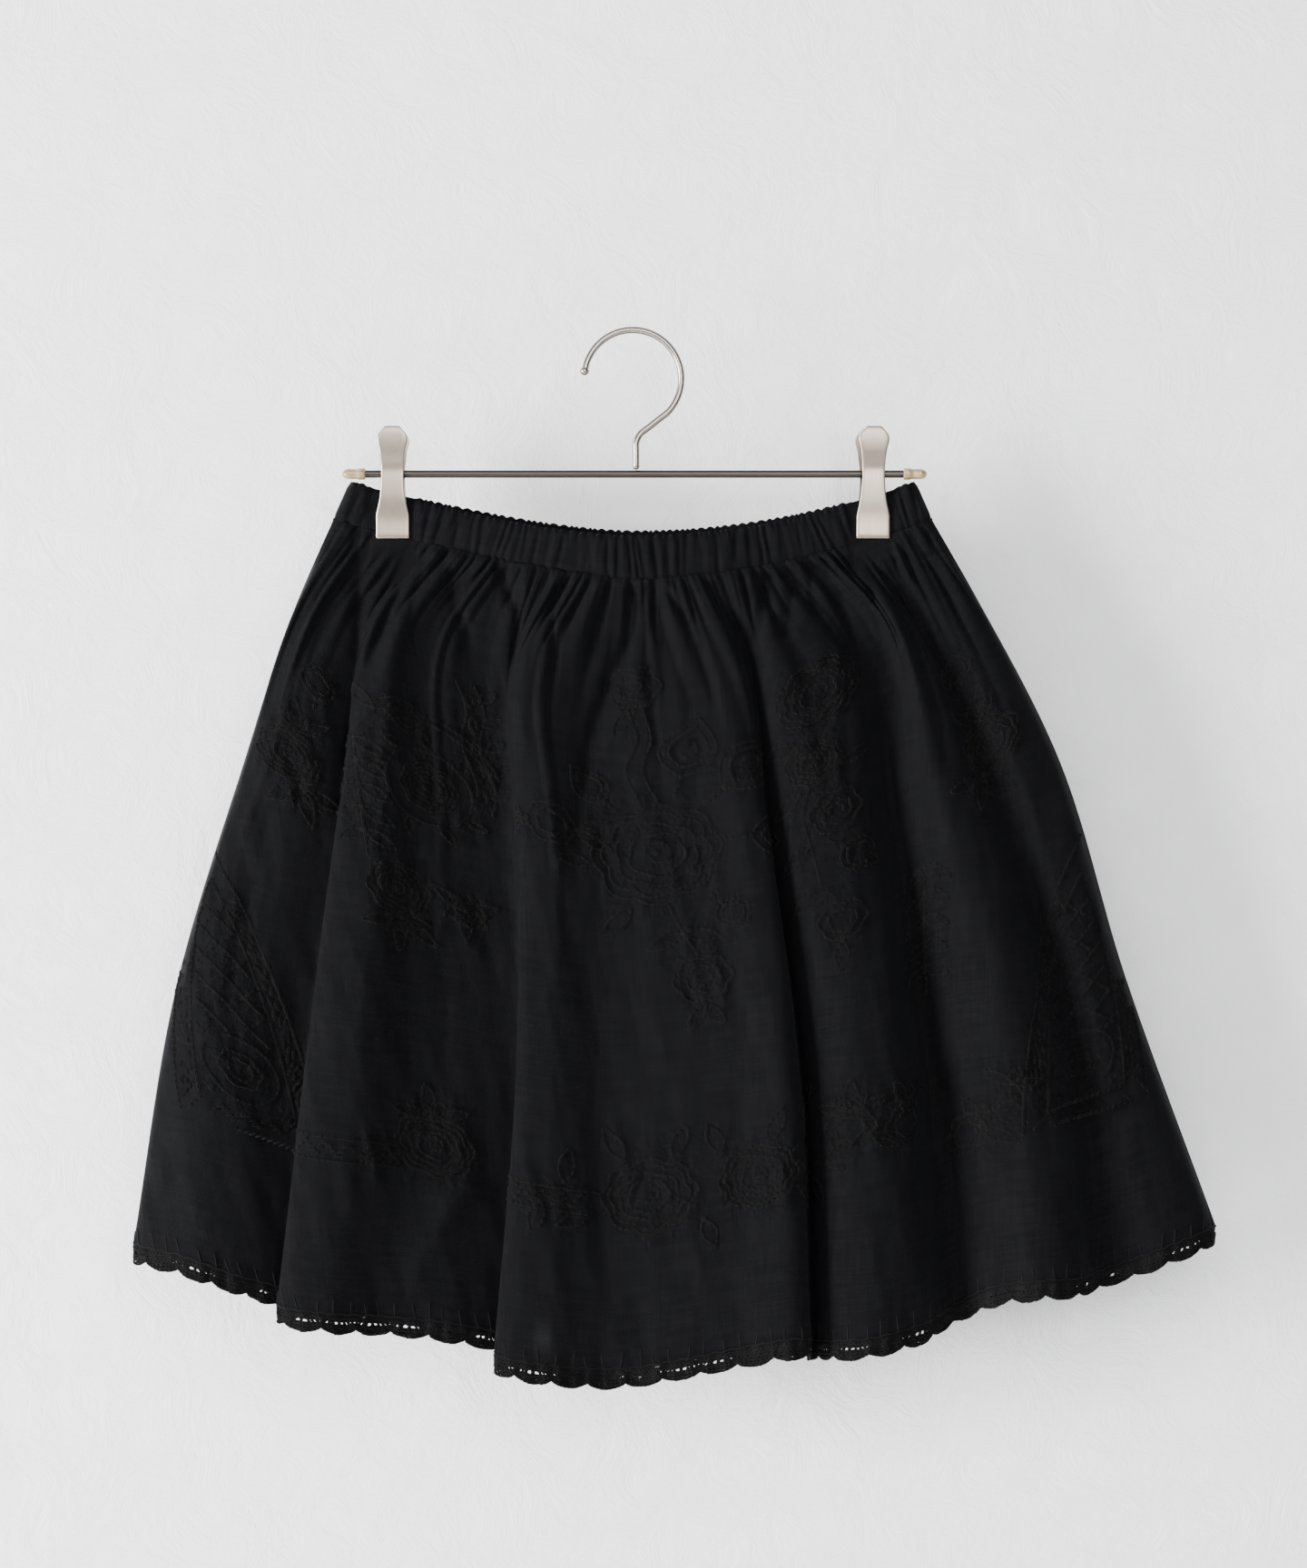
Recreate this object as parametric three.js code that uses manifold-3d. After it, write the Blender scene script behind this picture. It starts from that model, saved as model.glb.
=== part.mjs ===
// A gathered mini skirt with an elastic waistband and a scalloped crochet hem, pinched in the two
// clips of a wire hanger. Millimetres, +Z up, +X to the viewer's right, the front facing -Y.
// The origin is the inside of the hook's crown, the point by which the whole thing hangs.
import * as THREE from "three";
import Module from "manifold-3d";
import { mergeVertices } from "three/addons/utils/BufferGeometryUtils.js";

// Cloth
const CLOTH_WALL = 1.5;
const BAND_WALL = 2.2;
const LACE_WALL = 1.6;
const SEAM_GAP = 0.3;
const CORNER_GAP = 0.3; // added to the waist seam's gap at its corners, where the seam slopes
const HALF_SEAM_GAP = SEAM_GAP / 2;

// Waist: the band's two edges sag between the clips, more sharply on the right than on the left.
// A sag is a power of the distance from the middle: rise is how much higher the corners are.
const WAIST_HALF_TOP = 156;
const WAIST_HALF_SEAM = 165;
const TOP_EDGE = { middle: -112.8, rise: 31, powerLeft: 1.6, powerRight: 2.05 };
const SEAM_EDGE = { middle: -135.8, rise: 33, powerLeft: 1.35, powerRight: 1.8 };
const BACK_LIFT = 3.5; // the back of the band sags this much less than the front
const BAND_PINCHED_OUT = 3; // from the mid-plane to the band's face where a clip holds it
const BAND_CORNER_OUT = 4.6;
const FRONT_BOW = 8; // how far the band bellies forward between the clips
const BACK_BOW = 6;
const CORNER_SHARPNESS = 24; // power of the curve that rounds the band's folded corners

// Gathers: one small ridge every three columns of the panel's top
const COLUMNS = 60;
const COLUMNS_PER_GATHER = 3;
const GATHER_PROFILE = [0, 1, 0.72]; // a steep side, a crest and a slower side
const GATHER_DEPTH = 3.4;
const RUCHE_DEPTH = 1.3; // the same ridges where they run over the band
const HELD_DROP = 0.02; // the panel hangs straight for this share of its drop
const GATHERED_ROWS = [0, HELD_DROP, 0.06, 0.125];
const OPEN_ROWS = [0.2, 0.3, 0.41, 0.53, 0.65, 0.77, 0.89, 1];
const GATHER_FADE = [[0, 0.75], [0.05, 1], [0.12, 0.85], [0.22, 0.2], [0.3, 0]]; // [drop, share]

// Panels: the cloth's own length from the waist seam to the hem
const DROP_CENTRE = 424;
const DROP_SIDE_LOSS = 11;
const LEVELS = [0, 0.12, 0.35, 0.65, 1]; // shares of the drop at which the folds are placed
const OUT_LEVELS = [0, HELD_DROP, 0.12, 0.5, 1];
const YOKE_SHARE = 0.42; // how much of its depth below a fold already has at the yoke
const LINE_STEPS = 50; // steps down the drop in which a fold's height is added up

// Crochet edging
const LACE_COLUMNS = 2 * COLUMNS; // so that every column of the hem has one of the edging's below it
const COLUMNS_PER_SCALLOP = 3;
const LACE_HEADER = 2.6; // solid strip above the slots
const SLOT_HEIGHT = 1.9;
const SLOT_NARROWING = 0.12; // of a column, at each end of a slot
const CUSP_DEPTH = 1.2; // plain height below the slots, between two scallops
const SCALLOP_DEPTH = 5.2; // the same in the middle of a scallop

// Hanger
const WIRE_R = 1.9;
const HOOK_R = 26.8; // to the wire's centre
const HOOK_START = 171; // degrees, the ball end
const HOOK_END = -43; // degrees, where the ring runs into the slanting stretch
const HOOK_TIP_R = 2.6;
const STEM_X = 1.9;
const STEM_BEND_Z = -57.3;
const BAR_Z = -77.5;
const BAR_R = 2.1;
const BAR_HALF = 155;
const BAR_SHIFT = 1; // the bar's middle is this far right of the hook's crown
const CAP_R = 2.8;
const CAP_COLLAR_R = 3.2;
const CAP_LENGTH = 13;
const CAP_BORED = 0.55; // share of its length that slips over the bar
const CLIP_X = 132;
const CLIP_PLATE = 1.2;
const CLIP_HANDLE_OUT = 9.5; // from the mid-plane to the inner face at the top of the handles
const CLIP_TOP_Z = -51.8;
const CLIP_BOTTOM_Z = -113.3;
const CLIP_BACK_EXTRA = 2; // the back jaw is this much longer
const CLIP_TURN = 4; // degrees that the right clip is turned on the bar
const JAW_HALF = 9.25;
const SPRING_R = 5.6;
const SPRING_LENGTH = 9;

// The front's folds from the left side seam to the right one. x at the yoke, knee, low and hem levels;
// out is how far forward of the mid-plane the fold lies half-way down and at the hem, and longer is
// how much more cloth hangs there than the panel's own drop, because the gathers let it sag.
const FRONT_FOLDS = [
  { name: "seam_left", x: [-185, -215, -251, -275], out: [0, 0], longer: 2 },
  { name: "turn_left", x: [-183, -212, -248, -272], out: [12, 14], longer: 2 },
  { name: "panel_left", x: [-172, -197, -229, -244], out: [22, 30], longer: 1 },
  { name: "panel_left_inner", x: [-159, -179, -206, -216], out: [20, 26], longer: 3 },
  { name: "valley_left", x: [-147, -156, -176, -186], out: [12, 14], longer: 6 },
  { name: "edge_a", x: [-140, -155, -180, -192], out: [32, 42], longer: 14 },
  { name: "ridge_a", x: [-128, -140, -160, -165], out: [36, 46], longer: 13 },
  { name: "shelf_b", x: [-112, -121, -131, -131], out: [23, 29], longer: 8 },
  { name: "ridge_b", x: [-95, -99, -98, -98], out: [27, 29], longer: 5 },
  { name: "valley_b", x: [-70, -70, -65, -66], out: [10, 9], longer: 4 },
  { name: "edge_c", x: [-63, -66, -67, -74], out: [37, 50], longer: 12 },
  { name: "ridge_c", x: [-54, -53, -52, -54], out: [40, 54], longer: 16 },
  { name: "valley_d", x: [-20, -32, -31, -24], out: [25, 41], longer: 9 },
  { name: "panel_e", x: [0, -9, -3, 9], out: [38, 50], longer: 4 },
  { name: "dip_e", x: [28, 33, 45, 50], out: [35, 47], longer: 0 },
  { name: "panel_f", x: [45, 61, 76, 81], out: [40, 52], longer: 0 },
  { name: "edge_f", x: [56, 73, 89, 95], out: [35, 46], longer: 2 },
  { name: "valley_g", x: [63, 75, 92, 98], out: [12, 15], longer: 3 },
  { name: "edge_h", x: [70, 86, 103, 110], out: [32, 41], longer: 4 },
  { name: "ridge_h", x: [90, 105, 121, 131], out: [36, 46], longer: 9 },
  { name: "slope_h", x: [110, 123, 135, 151], out: [28, 38], longer: 10 },
  { name: "valley_i", x: [125, 134, 150, 171], out: [10, 15], longer: 6 },
  { name: "edge_j", x: [136, 149, 163, 188], out: [28, 35], longer: 2 },
  { name: "ridge_j", x: [142, 163, 190, 215], out: [34, 43], longer: 3 },
  { name: "slope_j", x: [151, 182, 213, 237], out: [28, 36], longer: 7 },
  { name: "valley_k", x: [157, 190, 220, 254], out: [13, 19], longer: 7 },
  { name: "panel_l", x: [172, 210, 245, 289], out: [19, 25], longer: 6 },
  { name: "turn_right", x: [187, 229, 266, 317], out: [11, 12], longer: 7 },
  { name: "seam_right", x: [190, 234, 271, 321], out: [0, 0], longer: 7 },
];

// The back's folds, which no view of the front shows: place is a share of the width between the side
// seams at the yoke and at the hem, out is how far behind the mid-plane the fold lies.
const BACK_FOLDS = [
  { name: "turn_left", place: [0.006, 0.006], out: [12, 14] },
  { name: "panel_left", place: [0.05, 0.06], out: [26, 30] },
  { name: "valley_1", place: [0.12, 0.13], out: [17, 18] },
  { name: "ridge_1", place: [0.17, 0.19], out: [32, 40] },
  { name: "slope_1", place: [0.22, 0.245], out: [28, 34] },
  { name: "valley_2", place: [0.28, 0.29], out: [17, 18] },
  { name: "ridge_2", place: [0.325, 0.335], out: [33, 42] },
  { name: "panel_2", place: [0.375, 0.395], out: [31, 38] },
  { name: "valley_3", place: [0.43, 0.445], out: [18, 20] },
  { name: "ridge_3", place: [0.475, 0.485], out: [34, 43] },
  { name: "panel_3", place: [0.54, 0.55], out: [32, 40] },
  { name: "valley_4", place: [0.6, 0.6], out: [18, 19] },
  { name: "ridge_4", place: [0.65, 0.645], out: [33, 42] },
  { name: "slope_4", place: [0.7, 0.7], out: [27, 33] },
  { name: "valley_5", place: [0.75, 0.745], out: [17, 18] },
  { name: "ridge_5", place: [0.8, 0.795], out: [31, 40] },
  { name: "panel_5", place: [0.86, 0.86], out: [27, 33] },
  { name: "valley_6", place: [0.905, 0.91], out: [18, 19] },
  { name: "panel_right", place: [0.955, 0.955], out: [22, 27] },
  { name: "turn_right", place: [0.994, 0.994], out: [12, 14] },
];

const clothMaterial = new THREE.MeshStandardMaterial({ color: 0x17171b, roughness: 0.9, metalness: 0 });
const laceMaterial = new THREE.MeshStandardMaterial({ color: 0x0c0c0e, roughness: 0.85, metalness: 0 });
const steelMaterial = new THREE.MeshStandardMaterial({ color: 0xb9aea6, roughness: 0.25, metalness: 1 });
const capMaterial = new THREE.MeshStandardMaterial({ color: 0xb8a884, roughness: 0.4, metalness: 0 });

// A smooth value through (levels, values): cubic pieces whose slopes are weighted from their neighbours'.
function through(levels, values, at) {
  const last = levels.length - 1;
  let i = 0;
  while (i < last - 1 && at > levels[i + 1]) i += 1;
  const rise = (k) => (values[k + 1] - values[k]) / (levels[k + 1] - levels[k]);
  const slope = (k) => {
    if (k === 0) return rise(0);
    if (k === last) return rise(last - 1);
    const before = levels[k] - levels[k - 1];
    const after = levels[k + 1] - levels[k];
    return (rise(k - 1) * after + rise(k) * before) / (before + after);
  };
  const span = levels[i + 1] - levels[i];
  const t = (at - levels[i]) / span;
  const start = values[i] * (1 + 2 * t) * (1 - t) ** 2 + slope(i) * span * t * (1 - t) ** 2;
  const end = values[i + 1] * t * t * (3 - 2 * t) + slope(i + 1) * span * t * t * (t - 1);
  return start + end;
}

function straight(pairs, at) {
  let i = 0;
  while (i < pairs.length - 2 && at > pairs[i + 1][0]) i += 1;
  const [[x0, y0], [x1, y1]] = [pairs[i], pairs[i + 1]];
  return y0 + ((y1 - y0) * Math.min(1, Math.max(0, at - x0) / (x1 - x0)));
}

// A repeatable number from 0 to 1 for the n-th gather, so that no two are alike.
const uneven = (n) => Math.abs(Math.sin(n * 12.9898 + 4.1) * 43758.5453) % 1;

// The waist: how far the band's face is from the mid-plane at a share -1 to 1 of its half width.
function bandOut(share, bow) {
  const x = Math.abs(share) * WAIST_HALF_SEAM;
  const free = CLIP_X - JAW_HALF - 2;
  const belly = x < free ? bow * Math.cos((Math.PI * x) / (2 * free)) ** 2 : 0;
  const held = (CLIP_X + JAW_HALF + 1) * (WAIST_HALF_SEAM / WAIST_HALF_TOP);
  const beyond = Math.max(0, (x - held) / (WAIST_HALF_SEAM - held));
  const corner = (BAND_CORNER_OUT - BAND_PINCHED_OUT) * Math.sin((Math.PI * Math.min(1, beyond)) / 2) ** 2;
  return (BAND_PINCHED_OUT + belly + corner) * Math.sqrt(1 - Math.abs(share) ** CORNER_SHARPNESS);
}

// Height of one of the band's edges; lift raises its middle.
function edgeZ(edge, share, lift) {
  const power = share < 0 ? edge.powerLeft : edge.powerRight;
  return edge.middle + edge.rise * Math.abs(share) ** power + lift * (1 - share * share);
}

// One side of the skirt: sign is -1 for the front and 1 for the back. Each fold becomes a line of
// points down the drop; its height comes from the cloth's length along that line.
function makeSide(sign, folds, bow, lift) {
  const hemStep = (a, b) => Math.hypot(b.x[3] - a.x[3], b.out[1] - a.out[1]);
  const along = [0];
  for (let i = 1; i < folds.length; i += 1) along.push(along[i - 1] + hemStep(folds[i - 1], folds[i]));
  const width = along[folds.length - 1];
  const lines = folds.map((fold, i) => {
    const share = (2 * along[i]) / width - 1;
    const waistOut = bandOut(share, bow);
    const x = [share * WAIST_HALF_SEAM, ...fold.x];
    const yokeOut = waistOut + YOKE_SHARE * Math.max(0, fold.out[0] - waistOut);
    const out = [waistOut, waistOut, yokeOut, ...fold.out];
    const drop = DROP_CENTRE - DROP_SIDE_LOSS * share * share + fold.longer;
    return { share, x, out, drop, top: edgeZ(SEAM_EDGE, share, lift) };
  });
  // How many columns each fold's stretch gets, by its width at the hem, so that they add up to COLUMNS
  const ends = along.map((s, i) => Math.max(i, Math.round((s / width) * COLUMNS)));
  for (let i = ends.length - 2; i >= 0; i -= 1) {
    ends[i] = Math.min(ends[i], ends[i + 1] - 1);
  }
  return { sign, bow, lift, lines, ends };
}

// A fold line's point at a share of the drop.
function linePoint(side, line, at) {
  let z = line.top;
  let before = null;
  const steps = Math.max(1, Math.ceil(at * LINE_STEPS));
  for (let k = 0; k <= steps; k += 1) {
    const v = (at * k) / steps;
    const x = through(LEVELS, line.x, v);
    const out = through(OUT_LEVELS, line.out, v);
    if (before) {
      const length = (line.drop * at) / steps;
      z -= Math.sqrt(Math.max(0, length ** 2 - (x - before.x) ** 2 - (out - before.out) ** 2));
    }
    before = { x, out };
  }
  return new THREE.Vector3(before.x, side.sign * Math.max(before.out, HALF_SEAM_GAP), z);
}

// Where each column meets the waist, as a share -1 to 1 of the band's half width.
function columnShares(side, fine) {
  const shares = [];
  for (let i = 0; i < side.ends.length - 1; i += 1) {
    const pieces = (side.ends[i + 1] - side.ends[i]) * fine;
    const step = (side.lines[i + 1].share - side.lines[i].share) / pieces;
    for (let k = 0; k < pieces; k += 1) shares.push(side.lines[i].share + k * step);
  }
  shares.push(1);
  return shares;
}

// A line round the waist: half is its half width, edge its height, gap its distance above that.
function waistPoints(side, fine, half, edge, gap) {
  return columnShares(side, fine).map((share) => {
    const out = Math.max(bandOut(share, side.bow), HALF_SEAM_GAP);
    const z = edgeZ(edge, share, side.lift) + gap * (1 + (CORNER_GAP / SEAM_GAP) * share ** 8);
    return new THREE.Vector3(share * half, side.sign * out, z);
  });
}

// The points of one level of a side, columns * fine + 1 of them from the left seam to the right.
function levelPoints(side, at, fine) {
  if (at === 0) return waistPoints(side, fine, WAIST_HALF_SEAM, SEAM_EDGE, 0);
  const curve = new THREE.CatmullRomCurve3(side.lines.map((line) => linePoint(side, line, at)));
  const last = side.ends.length - 1;
  const points = [];
  for (let i = 0; i < last; i += 1) {
    const pieces = (side.ends[i + 1] - side.ends[i]) * fine;
    for (let k = 0; k < pieces; k += 1) points.push(curve.getPoint((i + k / pieces) / last));
  }
  points.push(curve.getPoint(1));
  return points;
}

// Outward direction in plan at each point of a level; the seam ends look straight out to the side.
function outward(points, sign) {
  return points.map((p, i) => {
    const a = points[Math.max(0, i - 1)];
    const b = points[Math.min(points.length - 1, i + 1)];
    if (i === 0) return new THREE.Vector3(-1, 0, 0);
    if (i === points.length - 1) return new THREE.Vector3(1, 0, 0);
    return new THREE.Vector3(-sign * (b.y - a.y), sign * (b.x - a.x), 0).normalize();
  });
}

const moved = (points, directions, by) =>
  points.map((p, i) => p.clone().addScaledVector(directions[i], typeof by === "function" ? by(i) : by));

// Ridge height of gather number n's column, from 0 at a crease to 1 at a crest.
function gatherShare(column) {
  const n = Math.floor(column / COLUMNS_PER_GATHER);
  return GATHER_PROFILE[column % COLUMNS_PER_GATHER] * (0.65 + 0.35 * uneven(n));
}

// 0 where a clip's jaws press the cloth flat, rising to 1 a little way off.
function clipFree(x) {
  const fromJaw = Math.abs(Math.abs(x) - CLIP_X) - JAW_HALF - 1.5;
  return Math.min(1, Math.max(0, fromJaw / 10));
}

// A closed wall from rows of outer and inner points. A row may have half the columns of the one above,
// and isOpen(row, column) says where the wall has a hole between that row and the next.
function wall(rows, isOpen = () => false) {
  const positions = [];
  const faces = [];
  const put = (points) => points.map((p) => positions.push(p.x, p.y, p.z) / 3 - 1);
  const outer = rows.map((row) => put(row.outer));
  const inner = rows.map((row) => put(row.inner));
  const quad = (a, b, c, d) => faces.push([a, b, c], [a, c, d]);
  const strip = (r, upper, lower, turned) => {
    const add = (a, b, c) => faces.push(turned ? [a, c, b] : [a, b, c]);
    if (upper.length === lower.length) {
      for (let i = 0; i < upper.length - 1; i += 1) {
        if (isOpen(r, i)) continue;
        add(upper[i], lower[i], lower[i + 1]);
        add(upper[i], lower[i + 1], upper[i + 1]);
      }
      return;
    }
    for (let k = 0; k < lower.length - 1; k += 1) {
      add(upper[2 * k], lower[k], upper[2 * k + 1]);
      add(upper[2 * k + 1], lower[k], lower[k + 1]);
      add(upper[2 * k + 1], lower[k + 1], upper[2 * k + 2]);
    }
  };
  for (let r = 0; r < rows.length - 1; r += 1) {
    strip(r, outer[r], outer[r + 1], false);
    strip(r, inner[r], inner[r + 1], true);
    for (let i = 0; i < outer[r].length - 1; i += 1) {
      if (!isOpen(r, i)) continue;
      quad(outer[r][i], inner[r][i], inner[r][i + 1], outer[r][i + 1]);
      quad(outer[r + 1][i], outer[r + 1][i + 1], inner[r + 1][i + 1], inner[r + 1][i]);
      quad(outer[r][i], outer[r + 1][i], inner[r + 1][i], inner[r][i]);
      quad(outer[r][i + 1], inner[r][i + 1], inner[r + 1][i + 1], outer[r + 1][i + 1]);
    }
  }
  const bottom = rows.length - 1;
  for (let i = 0; i < outer[0].length - 1; i += 1) {
    quad(outer[0][i], outer[0][i + 1], inner[0][i + 1], inner[0][i]);
  }
  for (let i = 0; i < outer[bottom].length - 1; i += 1) {
    quad(outer[bottom][i], inner[bottom][i], inner[bottom][i + 1], outer[bottom][i + 1]);
  }
  for (let r = 0; r < bottom; r += 1) {
    const [o0, o1, i0, i1] = [outer[r], outer[r + 1], inner[r], inner[r + 1]];
    quad(o0[0], i0[0], i1[0], o1[0]);
    quad(o0[o0.length - 1], o1[o1.length - 1], i1[i1.length - 1], i0[i0.length - 1]);
  }
  return solid(positions, faces);
}

// Faces as a geometry, turned to point out if the whole body is inside out.
function solid(positions, faces) {
  const at = (i) => new THREE.Vector3(positions[3 * i], positions[3 * i + 1], positions[3 * i + 2]);
  const volume = faces.reduce((sum, [a, b, c]) => sum + at(a).dot(at(b).cross(at(c))), 0);
  const index = faces.flatMap(([a, b, c]) => (volume < 0 ? [a, c, b] : [a, b, c]));
  const geometry = new THREE.BufferGeometry();
  geometry.setAttribute("position", new THREE.Float32BufferAttribute(positions, 3));
  geometry.setIndex(index);
  geometry.computeVertexNormals();
  return geometry;
}

// A panel: gathered rows with twice the columns, then open rows that follow the big folds alone.
function panelGeometry(side) {
  const row = (at, fine) => {
    const points = levelPoints(side, at, fine);
    const out = outward(points, side.sign);
    const depth = GATHER_DEPTH * straight(GATHER_FADE, at);
    const count = points.length - 1;
    const rise = (i) => {
      const nearSeam = Math.min(1, Math.min(i, count - i) / 4);
      const held = at <= HELD_DROP ? clipFree(points[i].x) : 1;
      return fine === 1 ? 0 : held * nearSeam * depth * gatherShare(i);
    };
    const forward = points.map(() => new THREE.Vector3(0, side.sign, 0));
    const outer = moved(points, forward, rise);
    return { outer, inner: moved(outer, out, -CLOTH_WALL) };
  };
  return wall([...GATHERED_ROWS.map((at) => row(at, 2)), ...OPEN_ROWS.map((at) => row(at, 1))]);
}

// The band: two layers of cloth over elastic, ruched by the same gathers, with a fuller middle.
function bandGeometry(side) {
  const top = waistPoints(side, 2, WAIST_HALF_TOP, TOP_EDGE, 0);
  const seam = waistPoints(side, 2, WAIST_HALF_SEAM, SEAM_EDGE, SEAM_GAP);
  const count = seam.length - 1;
  const rowAt = (down, puff) => {
    const points = top.map((p, i) => p.clone().lerp(seam[i], down));
    const out = outward(points, side.sign);
    const ridge = (i) => {
      const nearSeam = Math.min(1, Math.min(i, count - i) / 3);
      return clipFree(points[i].x) * nearSeam * (RUCHE_DEPTH * gatherShare(i) + puff);
    };
    return { outer: moved(points, out, ridge), inner: moved(points, out, -BAND_WALL) };
  };
  return wall([rowAt(0, 0), rowAt(0.5, 0.8), rowAt(1, 0)]);
}

// The crochet edging hangs from the hem and follows its folds: a header, a row of slots cut right
// through it, and a scallop below each slot. Its middle line is the middle of the hem's own bottom face.
function laceGeometry(side) {
  const hem = levelPoints(side, 1, 1);
  const middle = moved(hem, outward(hem, side.sign), -CLOTH_WALL / 2);
  const along = (column) => {
    const at = Math.min(COLUMNS, Math.max(0, (column * COLUMNS) / LACE_COLUMNS));
    const i = Math.min(COLUMNS - 1, Math.floor(at));
    return middle[i].clone().lerp(middle[i + 1], at - i);
  };
  const place = (i) => i % COLUMNS_PER_SCALLOP;
  const shift = (i) => [0, SLOT_NARROWING, -SLOT_NARROWING][place(i)];
  const rowAt = (below, narrowed) => {
    const line = [];
    for (let i = 0; i <= LACE_COLUMNS; i += 1) {
      const point = along(i + (narrowed ? shift(i) : 0));
      point.z -= SEAM_GAP + below(i);
      line.push(point);
    }
    const out = outward(line, side.sign);
    return { outer: moved(line, out, LACE_WALL / 2), inner: moved(line, out, -LACE_WALL / 2) };
  };
  const slotFoot = LACE_HEADER + SLOT_HEIGHT;
  const rows = [
    rowAt(() => 0, false),
    rowAt(() => LACE_HEADER, true),
    rowAt(() => slotFoot, true),
    rowAt((i) => slotFoot + (place(i) === 0 ? CUSP_DEPTH : SCALLOP_DEPTH), false),
  ];
  const slotted = (row, column) => row === 1 && place(column) === 1;
  return wall(rows, slotted);
}

// The hook: a ball end, most of a ring, a slanting run back to the middle, and a straight stem.
function hookGeometry(wasm) {
  const centreZ = WIRE_R - HOOK_R;
  const ring = (degrees) => {
    const a = THREE.MathUtils.degToRad(degrees);
    return new THREE.Vector3(HOOK_R * Math.cos(a), 0, centreZ + HOOK_R * Math.sin(a));
  };
  const arcPoints = 18;
  const route = [];
  for (let k = 0; k <= arcPoints; k += 1) {
    route.push(ring(HOOK_START + ((HOOK_END - HOOK_START) * k) / arcPoints));
  }
  const bend = new THREE.Vector3(STEM_X, 0, STEM_BEND_Z);
  const ringEnd = route[arcPoints];
  for (const share of [0.3, 0.6, 0.88]) route.push(ringEnd.clone().lerp(bend, share));
  const stemFoot = BAR_Z + BAR_R + SEAM_GAP;
  for (const below of [3, 7]) route.push(new THREE.Vector3(STEM_X, 0, STEM_BEND_Z - below));
  route.push(new THREE.Vector3(STEM_X, 0, stemFoot));
  const path = new THREE.CatmullRomCurve3(route);
  const section = new THREE.Shape();
  section.absarc(0, 0, WIRE_R, 0, 2 * Math.PI, false);
  const wire = new THREE.ExtrudeGeometry(section, { steps: 44, extrudePath: path, curveSegments: 5 });
  const tip = new THREE.SphereGeometry(HOOK_TIP_R, 12, 8).translate(route[0].x, 0, route[0].z);
  return joined(wasm, [wire, tip]);
}

// A manifold solid from a geometry, and a geometry from the union of several.
function joined(wasm, geometries) {
  const solids = geometries.map((geometry) => {
    const bare = geometry.clone();
    bare.deleteAttribute("normal");
    bare.deleteAttribute("uv");
    const merged = mergeVertices(bare, 1e-3);
    const vertProperties = new Float32Array(merged.attributes.position.array);
    const triVerts = new Uint32Array(merged.index.array);
    return new wasm.Manifold(new wasm.Mesh({ numProp: 3, vertProperties, triVerts }));
  });
  const mesh = solids.reduce((a, b) => a.add(b)).getMesh();
  const geometry = new THREE.BufferGeometry();
  geometry.setAttribute("position", new THREE.BufferAttribute(new Float32Array(mesh.vertProperties), 3));
  geometry.setIndex(new THREE.BufferAttribute(new Uint32Array(mesh.triVerts), 1));
  geometry.computeVertexNormals();
  return geometry;
}

function barGeometry() {
  return new THREE.CylinderGeometry(BAR_R, BAR_R, 2 * BAR_HALF, 16).rotateZ(Math.PI / 2);
}

// A soft plastic end cap: collar, waist and rounded nose, bored to slip over the bar's end.
function capGeometry() {
  const bore = BAR_R + SEAM_GAP;
  const bored = CAP_LENGTH * CAP_BORED;
  const profile = [
    [0, bored],
    [bore, bored],
    [bore, 0],
    [CAP_COLLAR_R, 0],
    [CAP_COLLAR_R, CAP_LENGTH * 0.26],
    [CAP_R, CAP_LENGTH * 0.38],
    [CAP_R, CAP_LENGTH * 0.72],
    [CAP_R * 0.72, CAP_LENGTH * 0.93],
    [0, CAP_LENGTH],
  ];
  return new THREE.LatheGeometry(profile.map(([r, y]) => new THREE.Vector2(r, y)), 16);
}

// A clip's plate: an hourglass outline with a chamfered top, bent so that it leans on the spring at
// the bar and lies in to the cloth at its jaw. down is a share of the plate's height, half its half
// width, and out how far its inner face is from the mid-plane.
function plateGeometry(sign, extra, jawOut) {
  const height = CLIP_TOP_Z - CLIP_BOTTOM_Z;
  const waistOut = SPRING_R + SEAM_GAP;
  const stations = [
    { down: 0, half: 4, out: CLIP_HANDLE_OUT },
    { down: 0.07, half: 7.75, out: CLIP_HANDLE_OUT },
    { down: 0.22, half: 7.1, out: CLIP_HANDLE_OUT - 1 },
    { down: 0.38, half: 6.25, out: waistOut },
    { down: 0.48, half: 6.3, out: waistOut },
    { down: 0.66, half: 7.4, out: waistOut - 0.6 },
    { down: 0.8, half: JAW_HALF, out: jawOut + 0.4 },
    { down: 1, half: JAW_HALF, out: jawOut },
  ];
  const rows = stations.map(({ down, half, out }) => {
    const z = CLIP_TOP_Z - down * (height + extra);
    const across = (y) => [-half, 0, half].map((x) => new THREE.Vector3(x, sign * y, z));
    return { outer: across(out + CLIP_PLATE), inner: across(out) };
  });
  return wall(rows);
}

// The spring between a clip's plates, a sleeve round the bar with room for the clip's turn.
function springGeometry(turn) {
  const half = SPRING_LENGTH / 2;
  const bore = BAR_R + SEAM_GAP + half * Math.tan(turn);
  const profile = [[bore, -half], [SPRING_R, -half], [SPRING_R, half], [bore, half], [bore, -half]];
  const geometry = new THREE.LatheGeometry(profile.map(([r, y]) => new THREE.Vector2(r, y)), 16);
  return geometry.rotateZ(Math.PI / 2);
}

function meshOf(name, geometry, material) {
  const mesh = new THREE.Mesh(geometry, material);
  mesh.name = name;
  return mesh;
}

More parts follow.
